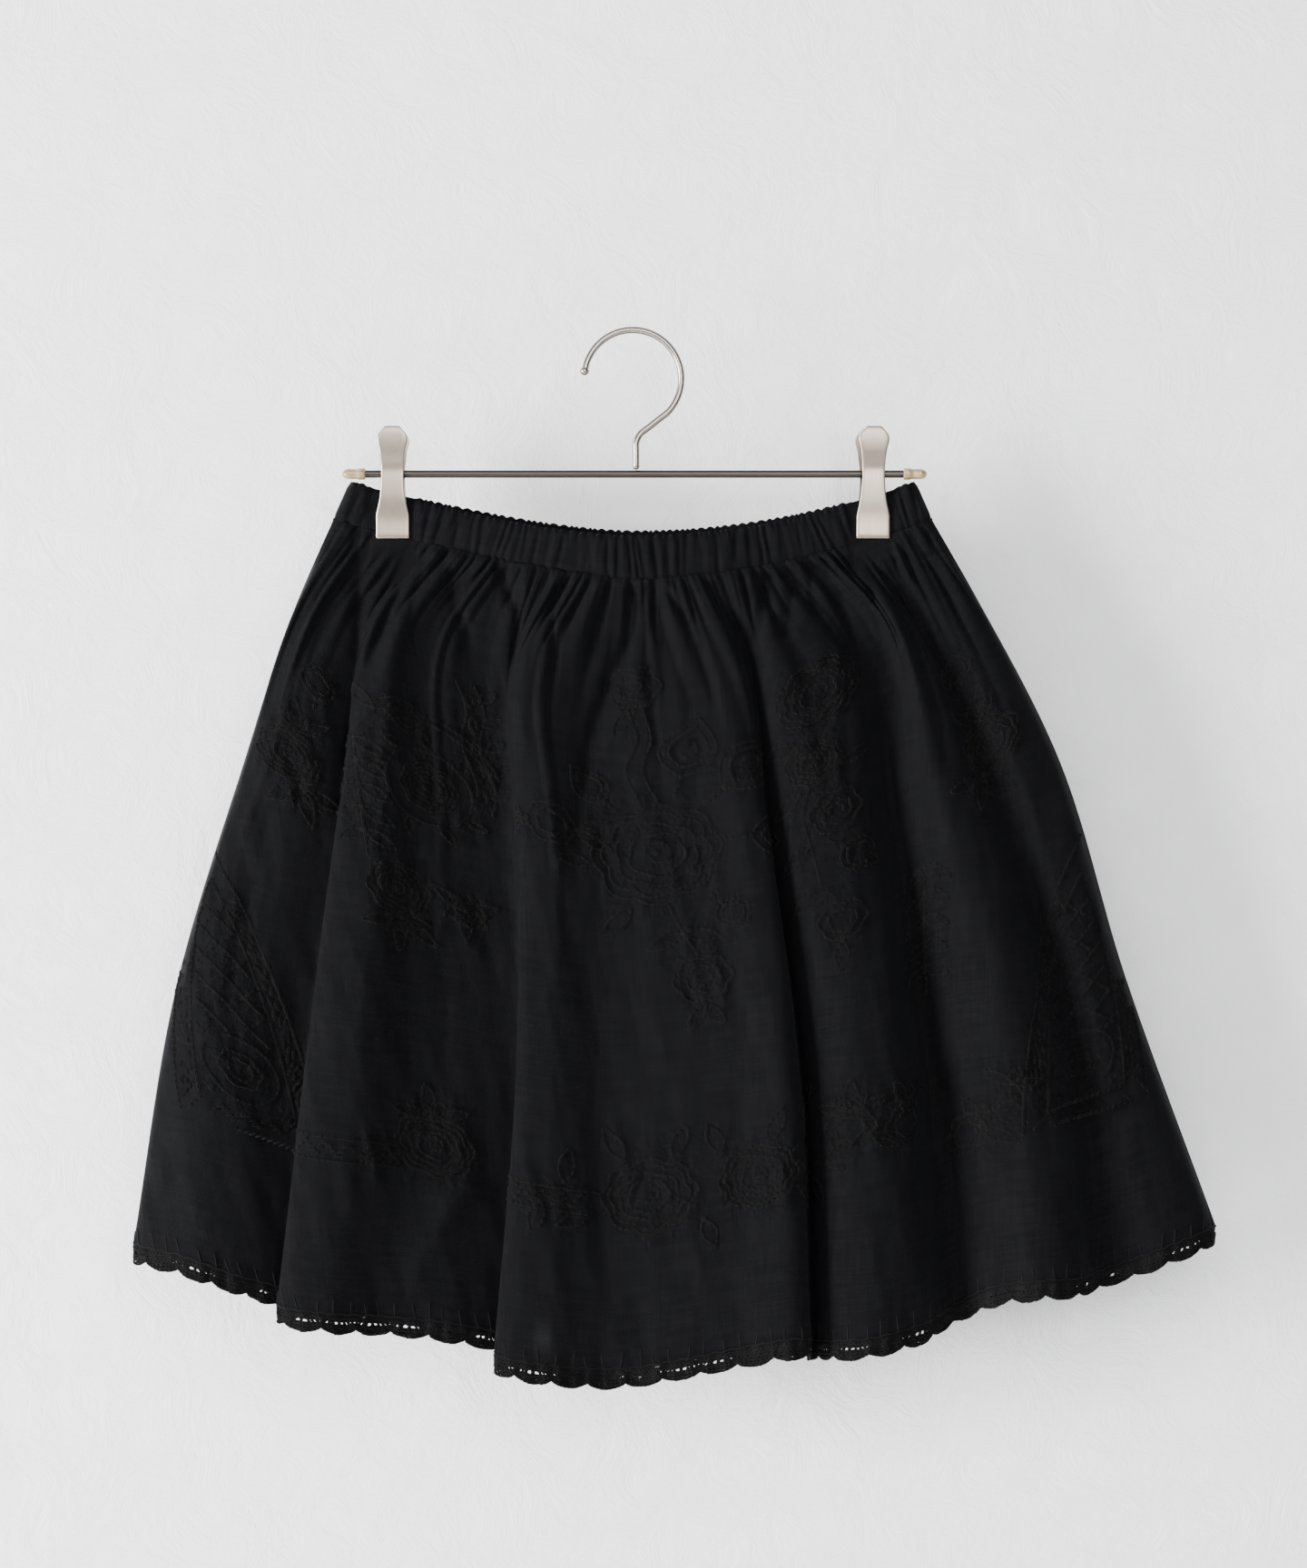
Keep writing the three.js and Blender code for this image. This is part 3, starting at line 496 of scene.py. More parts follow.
def back_folds():
    """The back's folds in the same form as the front's, placed between the two side seams."""
    left, right = FRONT_FOLDS[0], FRONT_FOLDS[-1]
    inner = []
    for name, (yoke, hem), out in BACK_FOLDS:
        places = [yoke + (hem - yoke) * k / 3 for k in range(4)]
        x = tuple(a + (b - a) * p for a, b, p in zip(left[1], right[1], places))
        inner.append((name, x, out, left[3] + (right[3] - left[3]) * hem))
    return [left, *inner, right]


SIDES = {
    "front": Side(-1, FRONT_FOLDS, FRONT_CREASES, FRONT_BOW, 0, 11),
    "back": Side(1, back_folds(), BACK_CREASES, BACK_BOW, BACK_LIFT, 23),
}


# Meshes

def outward(grid, sign):
    """Unit normals of a grid of points, pointing out of the skirt; its two ends look to the sides."""
    normals = unit(np.cross(np.gradient(grid, axis=0), np.gradient(grid, axis=1)) * -sign)
    normals[:, 0] = (-1, 0, 0)
    normals[:, -1] = (1, 0, 0)
    return normals


def mesh_piece(name, points, faces, material, smooth=True):
    """A new object in the scene from points in millimetres and faces of any number of corners."""
    mesh = bpy.data.meshes.new(name)
    mesh.from_pydata((np.asarray(points, float) * MM).tolist(), [], faces)
    mesh.validate()
    if smooth:
        mesh.shade_smooth()
    if material:
        mesh.materials.append(material)
    piece = bpy.data.objects.new(name, mesh)
    bpy.context.scene.collection.objects.link(piece)
    return piece


def shell(name, outer, inner, sign, material):
    """A closed thin shell between an outer and an inner grid of points."""
    rows, columns = outer.shape[:2]
    index = np.arange(rows * columns).reshape(rows, columns)
    below = rows * columns

    def quads(a, b, c, d):
        """Four-cornered faces from four grids of their corners."""
        return np.stack([a.ravel(), b.ravel(), c.ravel(), d.ravel()], axis=1)

    outside = quads(index[:-1, :-1], index[1:, :-1], index[1:, 1:], index[:-1, 1:])
    left, right, top, bottom = index[:, 0], index[:, -1], index[0], index[-1]
    rims = [
        quads(top[:-1], top[1:], top[1:] + below, top[:-1] + below),
        quads(bottom[1:], bottom[:-1], bottom[:-1] + below, bottom[1:] + below),
        quads(left[1:], left[:-1], left[:-1] + below, left[1:] + below),
        quads(right[:-1], right[1:], right[1:] + below, right[:-1] + below),
    ]
    faces = np.concatenate([outside, outside[:, ::-1] + below, *rims])
    if sign > 0:
        faces = faces[:, ::-1]
    points = np.concatenate([outer.reshape(-1, 3), inner.reshape(-1, 3)])
    return mesh_piece(name, points, faces.tolist(), material)


def lay_uv(piece, across, down):
    """A UV map in metres of cloth, and the same for the inner face, from two grids in millimetres."""
    uv = np.stack([across.ravel(), down.ravel()], axis=1) * MM
    uv = np.concatenate([uv, uv])
    mesh = piece.data
    corners = np.zeros(len(mesh.loops), int)
    mesh.loops.foreach_get("vertex_index", corners)
    layer = mesh.uv_layers.new(name="cloth")
    layer.data.foreach_set("uv", uv[corners].astype(np.float32).ravel())


def mark(piece, name, values):
    """A named value at each point of a shell, the same on its inner face."""
    attribute = piece.data.attributes.new(name, "FLOAT", "POINT")
    attribute.data.foreach_set("value", np.tile(values.ravel(), 2).astype(np.float32))


# A dome at the end of a tube: how far out, and the share of the radius there
DOME = [(0.3, 0.954), (0.6, 0.8), (0.85, 0.527), (0.97, 0.243)]


def ring_faces(count, sides, closed=False):
    """Four-cornered faces between rings of points that follow one another."""
    faces = []
    for k in range(count if closed else count - 1):
        near, far = k * sides, (k + 1) % count * sides
        for j in range(sides):
            turn = (j + 1) % sides
            faces.append([near + j, near + turn, far + turn, far + j])
    return faces


def tube(path, radius, sides, closed_ends=True):
    """Points and faces of a round tube along a path; its ends are domes. radius may vary along it."""
    path = np.asarray(path, float)
    radius = np.broadcast_to(np.asarray(radius, float), len(path))
    tangents = unit(np.gradient(path, axis=0))
    if closed_ends:
        start = [path[0] - tangents[0] * radius[0] * out for out, _ in reversed(DOME)]
        end = [path[-1] + tangents[-1] * radius[-1] * out for out, _ in DOME]
        shrink = np.array([share for _, share in DOME])
        radius = np.concatenate([radius[0] * shrink[::-1], radius, radius[-1] * shrink])
        path = np.concatenate([start, path, end])
        tangents = np.concatenate([[tangents[0]] * len(DOME), tangents, [tangents[-1]] * len(DOME)])
    normal = np.cross(tangents[0], (0, 1, 0) if abs(tangents[0][1]) < 0.9 else (1, 0, 0))
    rings = []
    turns = np.linspace(0, 2 * math.pi, sides, endpoint=False)
    for point, tangent, r in zip(path, tangents, radius):
        normal = unit(normal - tangent * np.dot(normal, tangent))
        side = np.cross(tangent, normal)
        rings.append(point + r * (np.cos(turns)[:, None] * normal + np.sin(turns)[:, None] * side))
    points = np.concatenate(rings)
    ends = [list(range(sides))[::-1], [len(points) - sides + j for j in range(sides)]]
    return points, ring_faces(len(path), sides) + ends


def turned(profile, sides):
    """Points and faces of a body turned about the X axis; profile is (x, radius) from pole to pole
    or, where it doesn't touch the axis, a closed loop."""
    turns = np.linspace(0, 2 * math.pi, sides, endpoint=False)
    points = [(x, r * math.cos(a), r * math.sin(a)) for x, r in profile for a in turns]
    return np.array(points), ring_faces(len(profile), sides, profile[0][1] != 0)


def tidy(piece):
    """Merges doubled points, closes poles and turns the faces outwards."""
    work = bmesh.new()
    work.from_mesh(piece.data)
    bmesh.ops.remove_doubles(work, verts=work.verts, dist=1e-7)
    bmesh.ops.dissolve_degenerate(work, dist=1e-7, edges=work.edges)
    bmesh.ops.recalc_face_normals(work, faces=work.faces)
    work.to_mesh(piece.data)
    work.free()
    return piece


def settle(piece, slot, *nodes):
    """Fixes a finished piece to the part's body and hides the nodes that it stands for; its slot, the name of
    its finish, is not used.
    """
    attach(piece, BODY)
    if nodes:
        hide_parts(*nodes)
    return piece


# Materials

def feed(tree, socket, value):
    """Links an input to another node's output, or sets it to a plain value."""
    if isinstance(value, bpy.types.NodeSocket):
        tree.links.new(value, socket)
    else:
        socket.default_value = value


def node(tree, kind, place, *feeds, **values):
    """A node of a tree: feeds go to its inputs in order, values are its settings and inputs by name."""
    made = tree.nodes.new(kind)
    made.location = place
    for name, value in values.items():
        if name in made.bl_rna.properties:
            setattr(made, name, value)
        else:
            feed(tree, made.inputs[name.replace("_", " ")], value)
    for socket, value in zip(made.inputs, feeds):
        if value is not None:
            feed(tree, socket, value)
    return made


def maths(tree, operation, place, *feeds):
    """The output of a math node."""
    return node(tree, "ShaderNodeMath", place, *feeds, operation=operation).outputs[0]


def remap(tree, place, value, low, high, to_low, to_high):
    """A value's range from low to high, spread from to_low to to_high."""
    made = node(tree, "ShaderNodeMapRange", place, value)
    for name, number in (("From Min", low), ("From Max", high), ("To Min", to_low), ("To Max", to_high)):
        made.inputs[name].default_value = number
    return made.outputs[0]


def noise(tree, place, vector, **values):
    """The value of a noise texture."""
    return node(tree, "ShaderNodeTexNoise", place, Vector=vector, **values).outputs[0]


def object_place(tree, place):
    """Places on the piece itself, in metres."""
    return node(tree, "ShaderNodeTexCoord", place).outputs["Object"]


def effect_group(name, inputs):
    """A shader group with inputs given as (name, kind, default), which puts out a height and a tone."""
    tree = bpy.data.node_groups.new(name, "ShaderNodeTree")
    for label, kind, default in inputs:
        socket = tree.interface.new_socket(label, in_out="INPUT", socket_type=kind)
        if default is not None:
            socket.default_value = default
    for label in ("Height", "Tone"):
        tree.interface.new_socket(label, in_out="OUTPUT", socket_type="NodeSocketFloat")
    return tree, node(tree, "NodeGroupInput", (-1100, 0)).outputs


def weave_group():
    """Plain weave from a UV map in metres: crossing threads, their slubs, and small tone changes."""
    if "plain_weave" in bpy.data.node_groups:
        return bpy.data.node_groups["plain_weave"]
    tree, given = effect_group("plain_weave", [
        ("UV", "NodeSocketVector", None), ("Thread Pitch", "NodeSocketFloat", THREAD_PITCH),
        ("Slub Strength", "NodeSocketFloat", 0.5),
    ])
    parts = node(tree, "ShaderNodeSeparateXYZ", (-900, 0), given["UV"])

    def threads(axis, other, y):
        """The threads that lie side by side along one axis: their crests and their slubs."""
        turn = maths(tree, "DIVIDE", (-700, y), parts.outputs[axis], given["Thread Pitch"])
        wave = maths(tree, "MULTIPLY", (-540, y), turn, math.pi)
        across = maths(tree, "MULTIPLY", (-860, y - 120), parts.outputs[axis], SLUBS_ACROSS)
        along = maths(tree, "MULTIPLY", (-860, y - 240), parts.outputs[other], SLUBS_ALONG)
        stretch = node(tree, "ShaderNodeCombineXYZ", (-700, y - 160), across, along)
        slub = noise(tree, (-520, y - 160), stretch.outputs[0], Scale=1.0, Detail=2.0)
        return maths(tree, "SINE", (-380, y), wave), slub

    warp, warp_slub = threads("X", "Y", 300)
    weft, weft_slub = threads("Y", "X", -300)
    over = maths(tree, "MULTIPLY", (-180, 200), warp, weft)
    slubs = maths(tree, "ADD", (-180, 0), warp_slub, weft_slub)
    weighed = maths(tree, "MULTIPLY", (20, 0), slubs, given["Slub Strength"])
    height = maths(tree, "ADD", (220, 120), over, weighed)
    tone = remap(tree, (220, -140), slubs, 0.7, 1.3, *WEAVE_TONES)
    node(tree, "NodeGroupOutput", (700, 0), height, tone)
    return tree


def fibre_group():
    """Twisted thread on Object coordinates: fine fibres for the bump and a little change of tone."""
    if "thread_fibre" in bpy.data.node_groups:
        return bpy.data.node_groups["thread_fibre"]
    tree, given = effect_group("thread_fibre", [
        ("Vector", "NodeSocketVector", None), ("Scale", "NodeSocketFloat", 1500),
    ])
    height = noise(tree, (-300, 120), given["Vector"], Scale=given["Scale"], Detail=3.0, Roughness=0.6)
    broad = noise(tree, (-300, -160), given["Vector"], Scale=160.0, Detail=2.0)
    node(tree, "NodeGroupOutput", (500, 0), height, remap(tree, (0, -160), broad, 0.3, 0.7, *THREAD_TONES))
    return tree


def new_material(name, **values):
    """An empty material with a Principled shader set to values; returns it, its tree and the shader."""
    material = bpy.data.materials.new(name)
    material.use_nodes = True
    tree = material.node_tree
    tree.nodes.clear()
    shader = node(tree, "ShaderNodeBsdfPrincipled", (600, 0), **values)
    node(tree, "ShaderNodeOutputMaterial", (900, 0), shader.outputs[0])
    return material, tree, shader


def toned(tree, shader, color, tone):
    """Feeds the shader a colour that a tone output makes a little lighter or darker."""
    scale = node(tree, "ShaderNodeVectorMath", (300, 200), tuple(color), operation="SCALE", Scale=tone)
    feed(tree, shader.inputs["Base Color"], scale.outputs[0])


def bumped(tree, shader, height, strength, distance, under=None):
    """Feeds the shader a bump from a height, on top of another bump if there is one."""
    bump = node(tree, "ShaderNodeBump", (300, -200), Strength=strength, Distance=distance, Height=height)
    if under:
        feed(tree, bump.inputs["Normal"], under)
    feed(tree, shader.inputs["Normal"], bump.outputs[0])


def cloth_material(name, color):
    """Black plain-weave cotton: soft sheen, a fine weave, and puckers where it is embroidered."""
    if name in bpy.data.materials:
        return bpy.data.materials[name]
    material, tree, shader = new_material(
        name, Roughness=0.85, Specular_IOR_Level=0.03, Sheen_Weight=0.008, Sheen_Roughness=0.45,
        Sheen_Tint=(0.8, 0.83, 1, 1),
    )
    uv = node(tree, "ShaderNodeUVMap", (-700, 100), uv_map="cloth")
    weave = node(tree, "ShaderNodeGroup", (-450, 100), node_tree=weave_group())
    feed(tree, weave.inputs["UV"], uv.outputs[0])
    # painted light and shade multiplied into the colour: the paler see-through patch and the darker
    # embroidered ground
    painted_light_and_shade = node(tree, "ShaderNodeAttribute", (-450, 400), attribute_name="painted_light_and_shade")
    tone = maths(tree, "MULTIPLY", (-150, 300), weave.outputs["Tone"], painted_light_and_shade.outputs["Fac"])
    toned(tree, shader, color, tone)
    worked = node(tree, "ShaderNodeAttribute", (-900, -250), attribute_name="worked")
    share = maths(tree, "MULTIPLY_ADD", (-700, -250), worked.outputs["Fac"], 1 - PLAIN_PUCKERS, PLAIN_PUCKERS)
    place = object_place(tree, (-900, -400))
    crumple = noise(tree, (-450, -350), place, Scale=270.0, Detail=4.0, Roughness=0.6)
    puckers = maths(tree, "MULTIPLY", (-220, -300), share, crumple)
    broad = node(tree, "ShaderNodeBump", (100, -350), Strength=0.55, Distance=0.004, Height=puckers)
    bumped(tree, shader, weave.outputs["Height"], 0.5, 0.00025, broad.outputs[0])
    return material


def thread_material(name, color, roughness, sheen):
    """Cotton thread: matt, with fine fibres."""
    if name in bpy.data.materials:
        return bpy.data.materials[name]
    material, tree, shader = new_material(
        name, Roughness=roughness, Specular_IOR_Level=0.05, Sheen_Weight=sheen, Sheen_Roughness=0.5,
    )
    fibre = node(tree, "ShaderNodeGroup", (-250, 0), node_tree=fibre_group())
    feed(tree, fibre.inputs["Vector"], object_place(tree, (-500, 0)))
    toned(tree, shader, color, fibre.outputs["Tone"])
    bumped(tree, shader, fibre.outputs["Height"], 0.6, 0.0003)
    return material


def metal_material(name, color, roughness, streak):
    """Satin nickel: faint streaks along a direction and small changes of gloss."""
    if name in bpy.data.materials:
        return bpy.data.materials[name]
    material, tree, shader = new_material(name, Metallic=1.0)
    stretch = node(tree, "ShaderNodeMapping", (-600, 0), object_place(tree, (-800, 0)), Scale=streak)
    streaks = noise(tree, (-400, 0), stretch.outputs[0], Scale=1.0, Detail=3.0)
    gloss = remap(tree, (-150, 0), streaks, 0.3, 0.7, roughness * 0.93, roughness * 1.07)
    feed(tree, shader.inputs["Roughness"], gloss)
    toned(tree, shader, color, remap(tree, (-150, 260), streaks, 0.2, 0.8, 0.98, 1.02))
    bumped(tree, shader, streaks, 0.03, 0.0001)
    return material


def cap_material(name, color):
    """Soft amber plastic, a little see-through, with a cloudy tone."""
    if name in bpy.data.materials:
        return bpy.data.materials[name]
    material, tree, shader = new_material(
        name, Roughness=0.28, IOR=1.5, Subsurface_Weight=0.35, Subsurface_Scale=0.002, Coat_Weight=0.4,
        Coat_Roughness=0.15,
    )
    cloud = noise(tree, (-400, 0), object_place(tree, (-600, 0)), Scale=260.0, Detail=2.0)
    toned(tree, shader, color, remap(tree, (-150, 0), cloud, 0.35, 0.65, 0.7, 1.25))
    return material


# Cloth panels

def panel_grid(side):
    """The columns' shares, the rows' drops and the points of a panel before its finer creases."""
    shares = np.linspace(-1, 1, PANEL_COLUMNS + 1)
    drops = np.linspace(0, 1, PANEL_ROWS + 1) ** ROW_CROWDING
    return shares, drops, side.surface(shares, drops)


def gathers(side, shares, drops, half, depth):
    """Height of the gathers over the panel: rounded ridges of uneven width, length and height that
    start at the waist seam and run out down the cloth, with narrow creases among them. half is the
    cloth's half width at each row."""
    random = np.random.default_rng(side.seed)
    down = drops[:, None]
    heights = random.uniform(0.25, 1, GATHERS)
    lengths = random.choice(GATHER_LENGTHS, GATHERS, p=GATHER_ODDS)
    lengths = lengths * random.uniform(0.8, 1.25, GATHERS)
    drift = 0.05 * np.sin(3.1 * shares + side.seed) + 0.03 * np.sin(8.3 * shares + 2)
    moved = np.clip(shares[None] + drift[None] * down, -EDGE_OF_CLOTH, EDGE_OF_CLOTH)
    i, within = cell(uneven_edges(GATHERS, 0.6, side.seed + 1), moved)
    ridge = np.sin(np.pi * within) ** 0.6 * heights[i]
    start = 0.3 + 0.7 * smooth_step(0, 0.011, down)
    total = ridge * start * (1 - smooth_step(0.1, 1, down / lengths[i]))
    notch = smooth_step(0.001, 0.012, down) * (1 - smooth_step(0.02, 0.5, down / lengths[i]))
    total -= 0.4 * (1 - np.sin(np.pi * within)) ** 3 * notch
    for _ in range(SHARP_CREASES):
        centre = random.uniform(-0.97, 0.97)
        slant = random.normal(0, CREASE_SLANT)
        length = random.uniform(*CREASE_LENGTHS)
        width = random.uniform(*CREASE_WIDTHS)
        deep = random.uniform(*CREASE_DEPTHS)
        away = (moved - centre - slant * down) * half[:, None]
        spread = width * (1 + 2.5 * down / length)
        fade = (1 - smooth_step(0.25, 1, down / length)) * (0.3 + 0.7 * smooth_step(0, 0.02, down))
        total -= deep * fade * np.exp(-np.abs(away / spread) ** 1.2)
    _, within = cell(uneven_edges(FINE_GATHERS, 0.5, side.seed + 2), moved)
    total += FINE_GATHER_HEIGHT * np.sin(np.pi * within) * (1 - smooth_step(0.01, 0.1, down))
    return depth * smooth_step(0, 0.06, 1 - np.abs(shares))[None] * total


def crease_depths(grid, creases):
    """How far the listed creases sink each point of a panel."""
    flat = grid[..., [0, 2]]
    total = np.zeros(grid.shape[:2])
    for _, points, depth, half_width in creases:
        points = np.array(points, float)
        count = len(points) - 1
        nearest = np.full(total.shape, np.inf)
        along = np.zeros(total.shape)
        for k in range(count):
            step = points[k + 1] - points[k]
            t = np.clip(((flat - points[k]) @ step) / (step @ step), 0, 1)
            distance = np.linalg.norm(flat - points[k] - t[..., None] * step, axis=-1)
            closer = distance < nearest
            nearest = np.where(closer, distance, nearest)
            along = np.where(closer, (k + t) / count, along)
        ends = smooth_step(-0.02, 0.1, along) * (1 - smooth_step(0.6, 1.0, along))
        total += CREASE_GAIN * depth * ends * np.exp(-((nearest / (CREASE_SPREAD * half_width)) ** 1.5))
    return total


class Panel:
    """A panel's finished outer face, found again by the cloth's own measure: millimetres across from
    its middle line and down from the waist seam."""

    def __init__(self, side, cloth):
        self.side = side
        shares, drops, base = panel_grid(side)
        self.drops = drops
        steps = np.linalg.norm(np.diff(base, axis=1), axis=-1)
        along = np.concatenate([np.zeros((len(drops), 1)), np.cumsum(steps, axis=1)], axis=1)
        self.across = along - along[:, PANEL_COLUMNS // 2][:, None]
        self.down = np.repeat(drops[:, None] * DROP_CENTRE, PANEL_COLUMNS + 1, axis=1)
        height = gathers(side, shares, drops, self.across[:, -1], cloth.gather_depth / MM)
        held = clip_free(base[..., 0])
        height = height * (held + (1 - held) * smooth_step(0.012, 0.075, drops)[:, None])
        uneven = 0
        for k, (swell, wave, drawn, count) in enumerate(UNEVEN_CLOTH):
            uneven = uneven + swell * ripples(self.across, self.down * drawn, wave, count, side.seed + 5 + k)
        fall = smooth_step(0.1, 0.4, drops)[:, None]
        ends = smooth_step(0, 0.05, 1 - np.abs(shares))[None]
        height = height - crease_depths(base, side.creases) * ends + uneven * fall * ends
        pull = HEM_PULL * np.sin(self.across * 2 * math.pi / HEM_PULL_PITCH)
        height = height + pull * smooth_step(0.965, 1, drops)[:, None] * ends
        height = np.maximum(height, np.minimum(0, INNERMOST - np.abs(base[..., 1])))
        base = base + np.array([0, side.sign, 0]) * height[..., None]
        base[0, :, 1] -= side.sign * TUCKED_IN
        base[0, :, 2] += TUCKED_UP + SEAM_GAP * (1 + shares**8)
        self.points = base
        self.normals = outward(base, side.sign)
        self.worked = np.zeros(base.shape[:2])
        # the colour's painted light and shade, as a factor: 1 where there is none
        self.painted_light_and_shade = np.ones(base.shape[:2])

    def find(self, x, z):
        """Cloth measure (across, down) of the outermost point that is seen at x, z."""
        away = np.hypot(self.points[..., 0] - x, self.points[..., 2] - z)
        away -= OUTERMOST_WEIGHT * self.side.sign * self.points[..., 1]
        row, column = np.unravel_index(np.argmin(away), away.shape)
        return self.across[row, column], self.down[row, column]

    def turned_away(self, across, down, reach=15):
        """How much wider than it is seen from the front the cloth is about a place, within limits."""
        rows, columns = self.indexes(np.full(2, down), across + np.array([-reach, reach]))
        seen = np.diff(self.sample(self.points, rows, columns)[:, 0])[0]
        return min(WIDEST_STRETCH, 2 * reach / max(seen, 1))

    def indexes(self, across, down):
        """Fractional rows and columns of points in cloth measure."""
        rows = np.interp(down / DROP_CENTRE, self.drops, np.arange(len(self.drops)))
        low = np.minimum(rows.astype(int), len(self.drops) - 2)
        columns = np.arange(self.across.shape[1])
        found = []
        for r, t, a in zip(low, rows - low, across):
            one = np.interp(a, self.across[r], columns)
            two = np.interp(a, self.across[r + 1], columns)
            found.append(one + (two - one) * t)
        return rows, np.array(found)

    def sample(self, field, rows, columns):
        """A field's values at fractional rows and columns."""
        r = np.minimum(rows.astype(int), field.shape[0] - 2)
        c = np.minimum(columns.astype(int), field.shape[1] - 2)
        u, v = (rows - r)[:, None], (columns - c)[:, None]
        top = field[r, c] * (1 - v) + field[r, c + 1] * v
        bottom = field[r + 1, c] * (1 - v) + field[r + 1, c + 1] * v
        return top * (1 - u) + bottom * u

    def paint_see_through_light(self, x, z, half_width, half_height):
        """A patch of the cloth, seen at x, z, painted a little paler: painted light where light shows through
        the thin cloth.
        """
        across, down = self.find(x, z)
        away = np.hypot((self.across - across) / half_width, (self.down - down) / half_height)
        self.painted_light_and_shade += SEE_THROUGH_LIGHT_PALER * np.exp(-(away**2))

    def inside(self, line):
        """The stretches of a line in cloth measure that lie on the panel, a little in from its edges."""
        left = np.interp(line[:, 1], self.down[:, 0], self.across[:, 0]) + MOTIF_MARGIN
        right = np.interp(line[:, 1], self.down[:, 0], self.across[:, -1]) - MOTIF_MARGIN
        good = (line[:, 0] > left) & (line[:, 0] < right) & (line[:, 1] < DROP_CENTRE - HEM_MARGIN)
        return stretches(line, good)

    def on_cloth(self, line, lift):
        """A line in cloth measure as points on the cloth with the direction out of it."""
        rows, columns = self.indexes(line[:, 0], line[:, 1])
        normals = unit(self.sample(self.normals, rows, columns))
        return self.sample(self.points, rows, columns) + normals * lift, normals

    def lay(self, lines, lift):
        """The same for many lines, without what lies off the panel."""
        return [self.on_cloth(part, lift) for line in lines for part in self.inside(line)]

    def work(self, lines):
        """Marks and puckers the cloth round its embroidery, and paints shade into its colour there."""
        for line in lines:
            for part in self.inside(line):
                rows, columns = self.indexes(part[:, 0], part[:, 1])
                self.worked[np.round(rows).astype(int), np.round(columns).astype(int)] += 1
        mask = np.minimum(self.worked, 1)
        for _ in range(5):
            for axis in (0, 1):
                mask = (np.roll(mask, 1, axis) + mask + np.roll(mask, -1, axis)) / 3
        self.worked = np.clip(mask * 2.4, 0, 1)
        # painted shade: the worked cloth's colour is made darker, for the shade among its puckers
        self.painted_light_and_shade -= WORKED_PAINTED_SHADE * self.worked
        crumple = ripples(self.across, self.down * 1.1, 10, 7, self.side.seed + 8)
        crumple += ripples(self.down, self.across * 1.1, 11, 7, self.side.seed + 9)
        self.points = self.points + self.normals * (PUCKER_DEPTH * crumple * self.worked)[..., None]
        self.normals = outward(self.points, self.side.sign)


def stretches(line, good):
    """The unbroken runs of a line where good is true, those of two points or more."""
    edges = np.flatnonzero(np.diff(np.concatenate([[0], good.astype(int), [0]])))
    return [line[a:b] for a, b in zip(edges[::2], edges[1::2]) if b - a > 1]


# Embroidery motifs, as lines in millimetres, x across and y up

def arc_line(radius, start, end, centre=(0, 0), step=1.6):
    """A part of a circle between two angles."""
    count = max(3, int(abs(end - start) * radius / step) + 1)
    a = np.linspace(start, end, count)
    return np.column_stack([centre[0] + radius * np.cos(a), centre[1] + radius * np.sin(a)])


def mirrored(along, half):
    """A closed outline with one half on each side of the x axis."""
    return np.concatenate([np.column_stack([along, half]), np.column_stack([along[::-1], -half[::-1]])])


# A rose's rings of petals: share of its radius, number of petals, turn
ROSE_RINGS = [(1, 8, 0), (0.84, 8, 0.1), (0.64, 6, 0.4), (0.44, 5, 0.2)]


def petals(radius, count, depth, phase=0.0):
    """A closed outline of rounded petals."""
    a = np.linspace(0, 2 * math.pi, max(12, int(2 * math.pi * radius / 1.5)) + 1)
    r = radius * (1 - depth + depth * np.abs(np.cos(count * (a + phase) / 2)))
    return np.column_stack([r * np.cos(a), r * np.sin(a)])


def flower(radius, count=6):
    """An open flower: petals, an inner ring and a heart."""
    lines = [petals(radius, count, 0.15), petals(radius * 0.6, count, 0.2, 0.3)]
    if radius > 11:
        lines.append(arc_line(radius * 0.27, 0, 2 * math.pi, step=0.9))
    return lines


def rose(radius):
    """A full rose: rings of petals round a curl."""
    turns = np.linspace(0.3, 2.6 * math.pi, 26)
    r = radius * 0.26 * turns / turns[-1]
    rings = [(radius * share, count, turn) for share, count, turn in ROSE_RINGS if radius * share > 5]
    lines = [petals(size, count, 0.12, turn) for size, count, turn in rings]
    return lines + [np.column_stack([r * np.cos(turns), r * np.sin(turns)])]


def leaf(length, width):
    """A pointed leaf along +x, the broad ones with a middle vein."""
    t = np.linspace(0, 1, max(6, int(length / 1.6)))
    half = width / 2 * np.sin(math.pi * t) ** 0.8 * (1 - 0.25 * t)
    outline = mirrored(length * t, half)
    if width < 8:
        return [outline]
    return [outline, np.column_stack([length * t, 0 * t])[1:-2]]


def bud(length):
    """A bud on its stalk, along +x; a large one has one or two more outlines inside the first."""
    t = np.linspace(0, 1, 18)
    half = length * 0.3 * np.sin(math.pi * t**0.8)
    stalk = length * 0.22
    outline = mirrored(stalk + length * 0.78 * t, half)
    lines = [outline, np.column_stack([np.linspace(0, stalk, 4), np.zeros(4)])]
    for least, size, middle in ((22, 0.68, 0.6), (32, 0.3, 0.58)):
        if length > least:
            lines.append((outline - [length * 0.6, 0]) * size + [length * middle, 0])
    return lines


def placed(lines, at, turn=0.0, scale=1.0):
    """Lines turned, scaled and moved."""
    c, s = math.cos(turn) * scale, math.sin(turn) * scale
    return [line @ np.array([[c, s], [-s, c]]) + np.array(at) for line in lines]


def flipped(lines):
    """Lines the other way round."""
    return [line * np.array([-1, 1]) for line in lines]


def spray(radius, count, start, sweep):
    """Leaves fanned out from a centre."""
    lines = []
    for k in range(count):
        a = start + sweep * k / max(1, count - 1)
        lines += placed(leaf(radius * (0.8 + 0.2 * math.cos(3 * k)), radius * 0.36), (0, 0), a)
    return lines


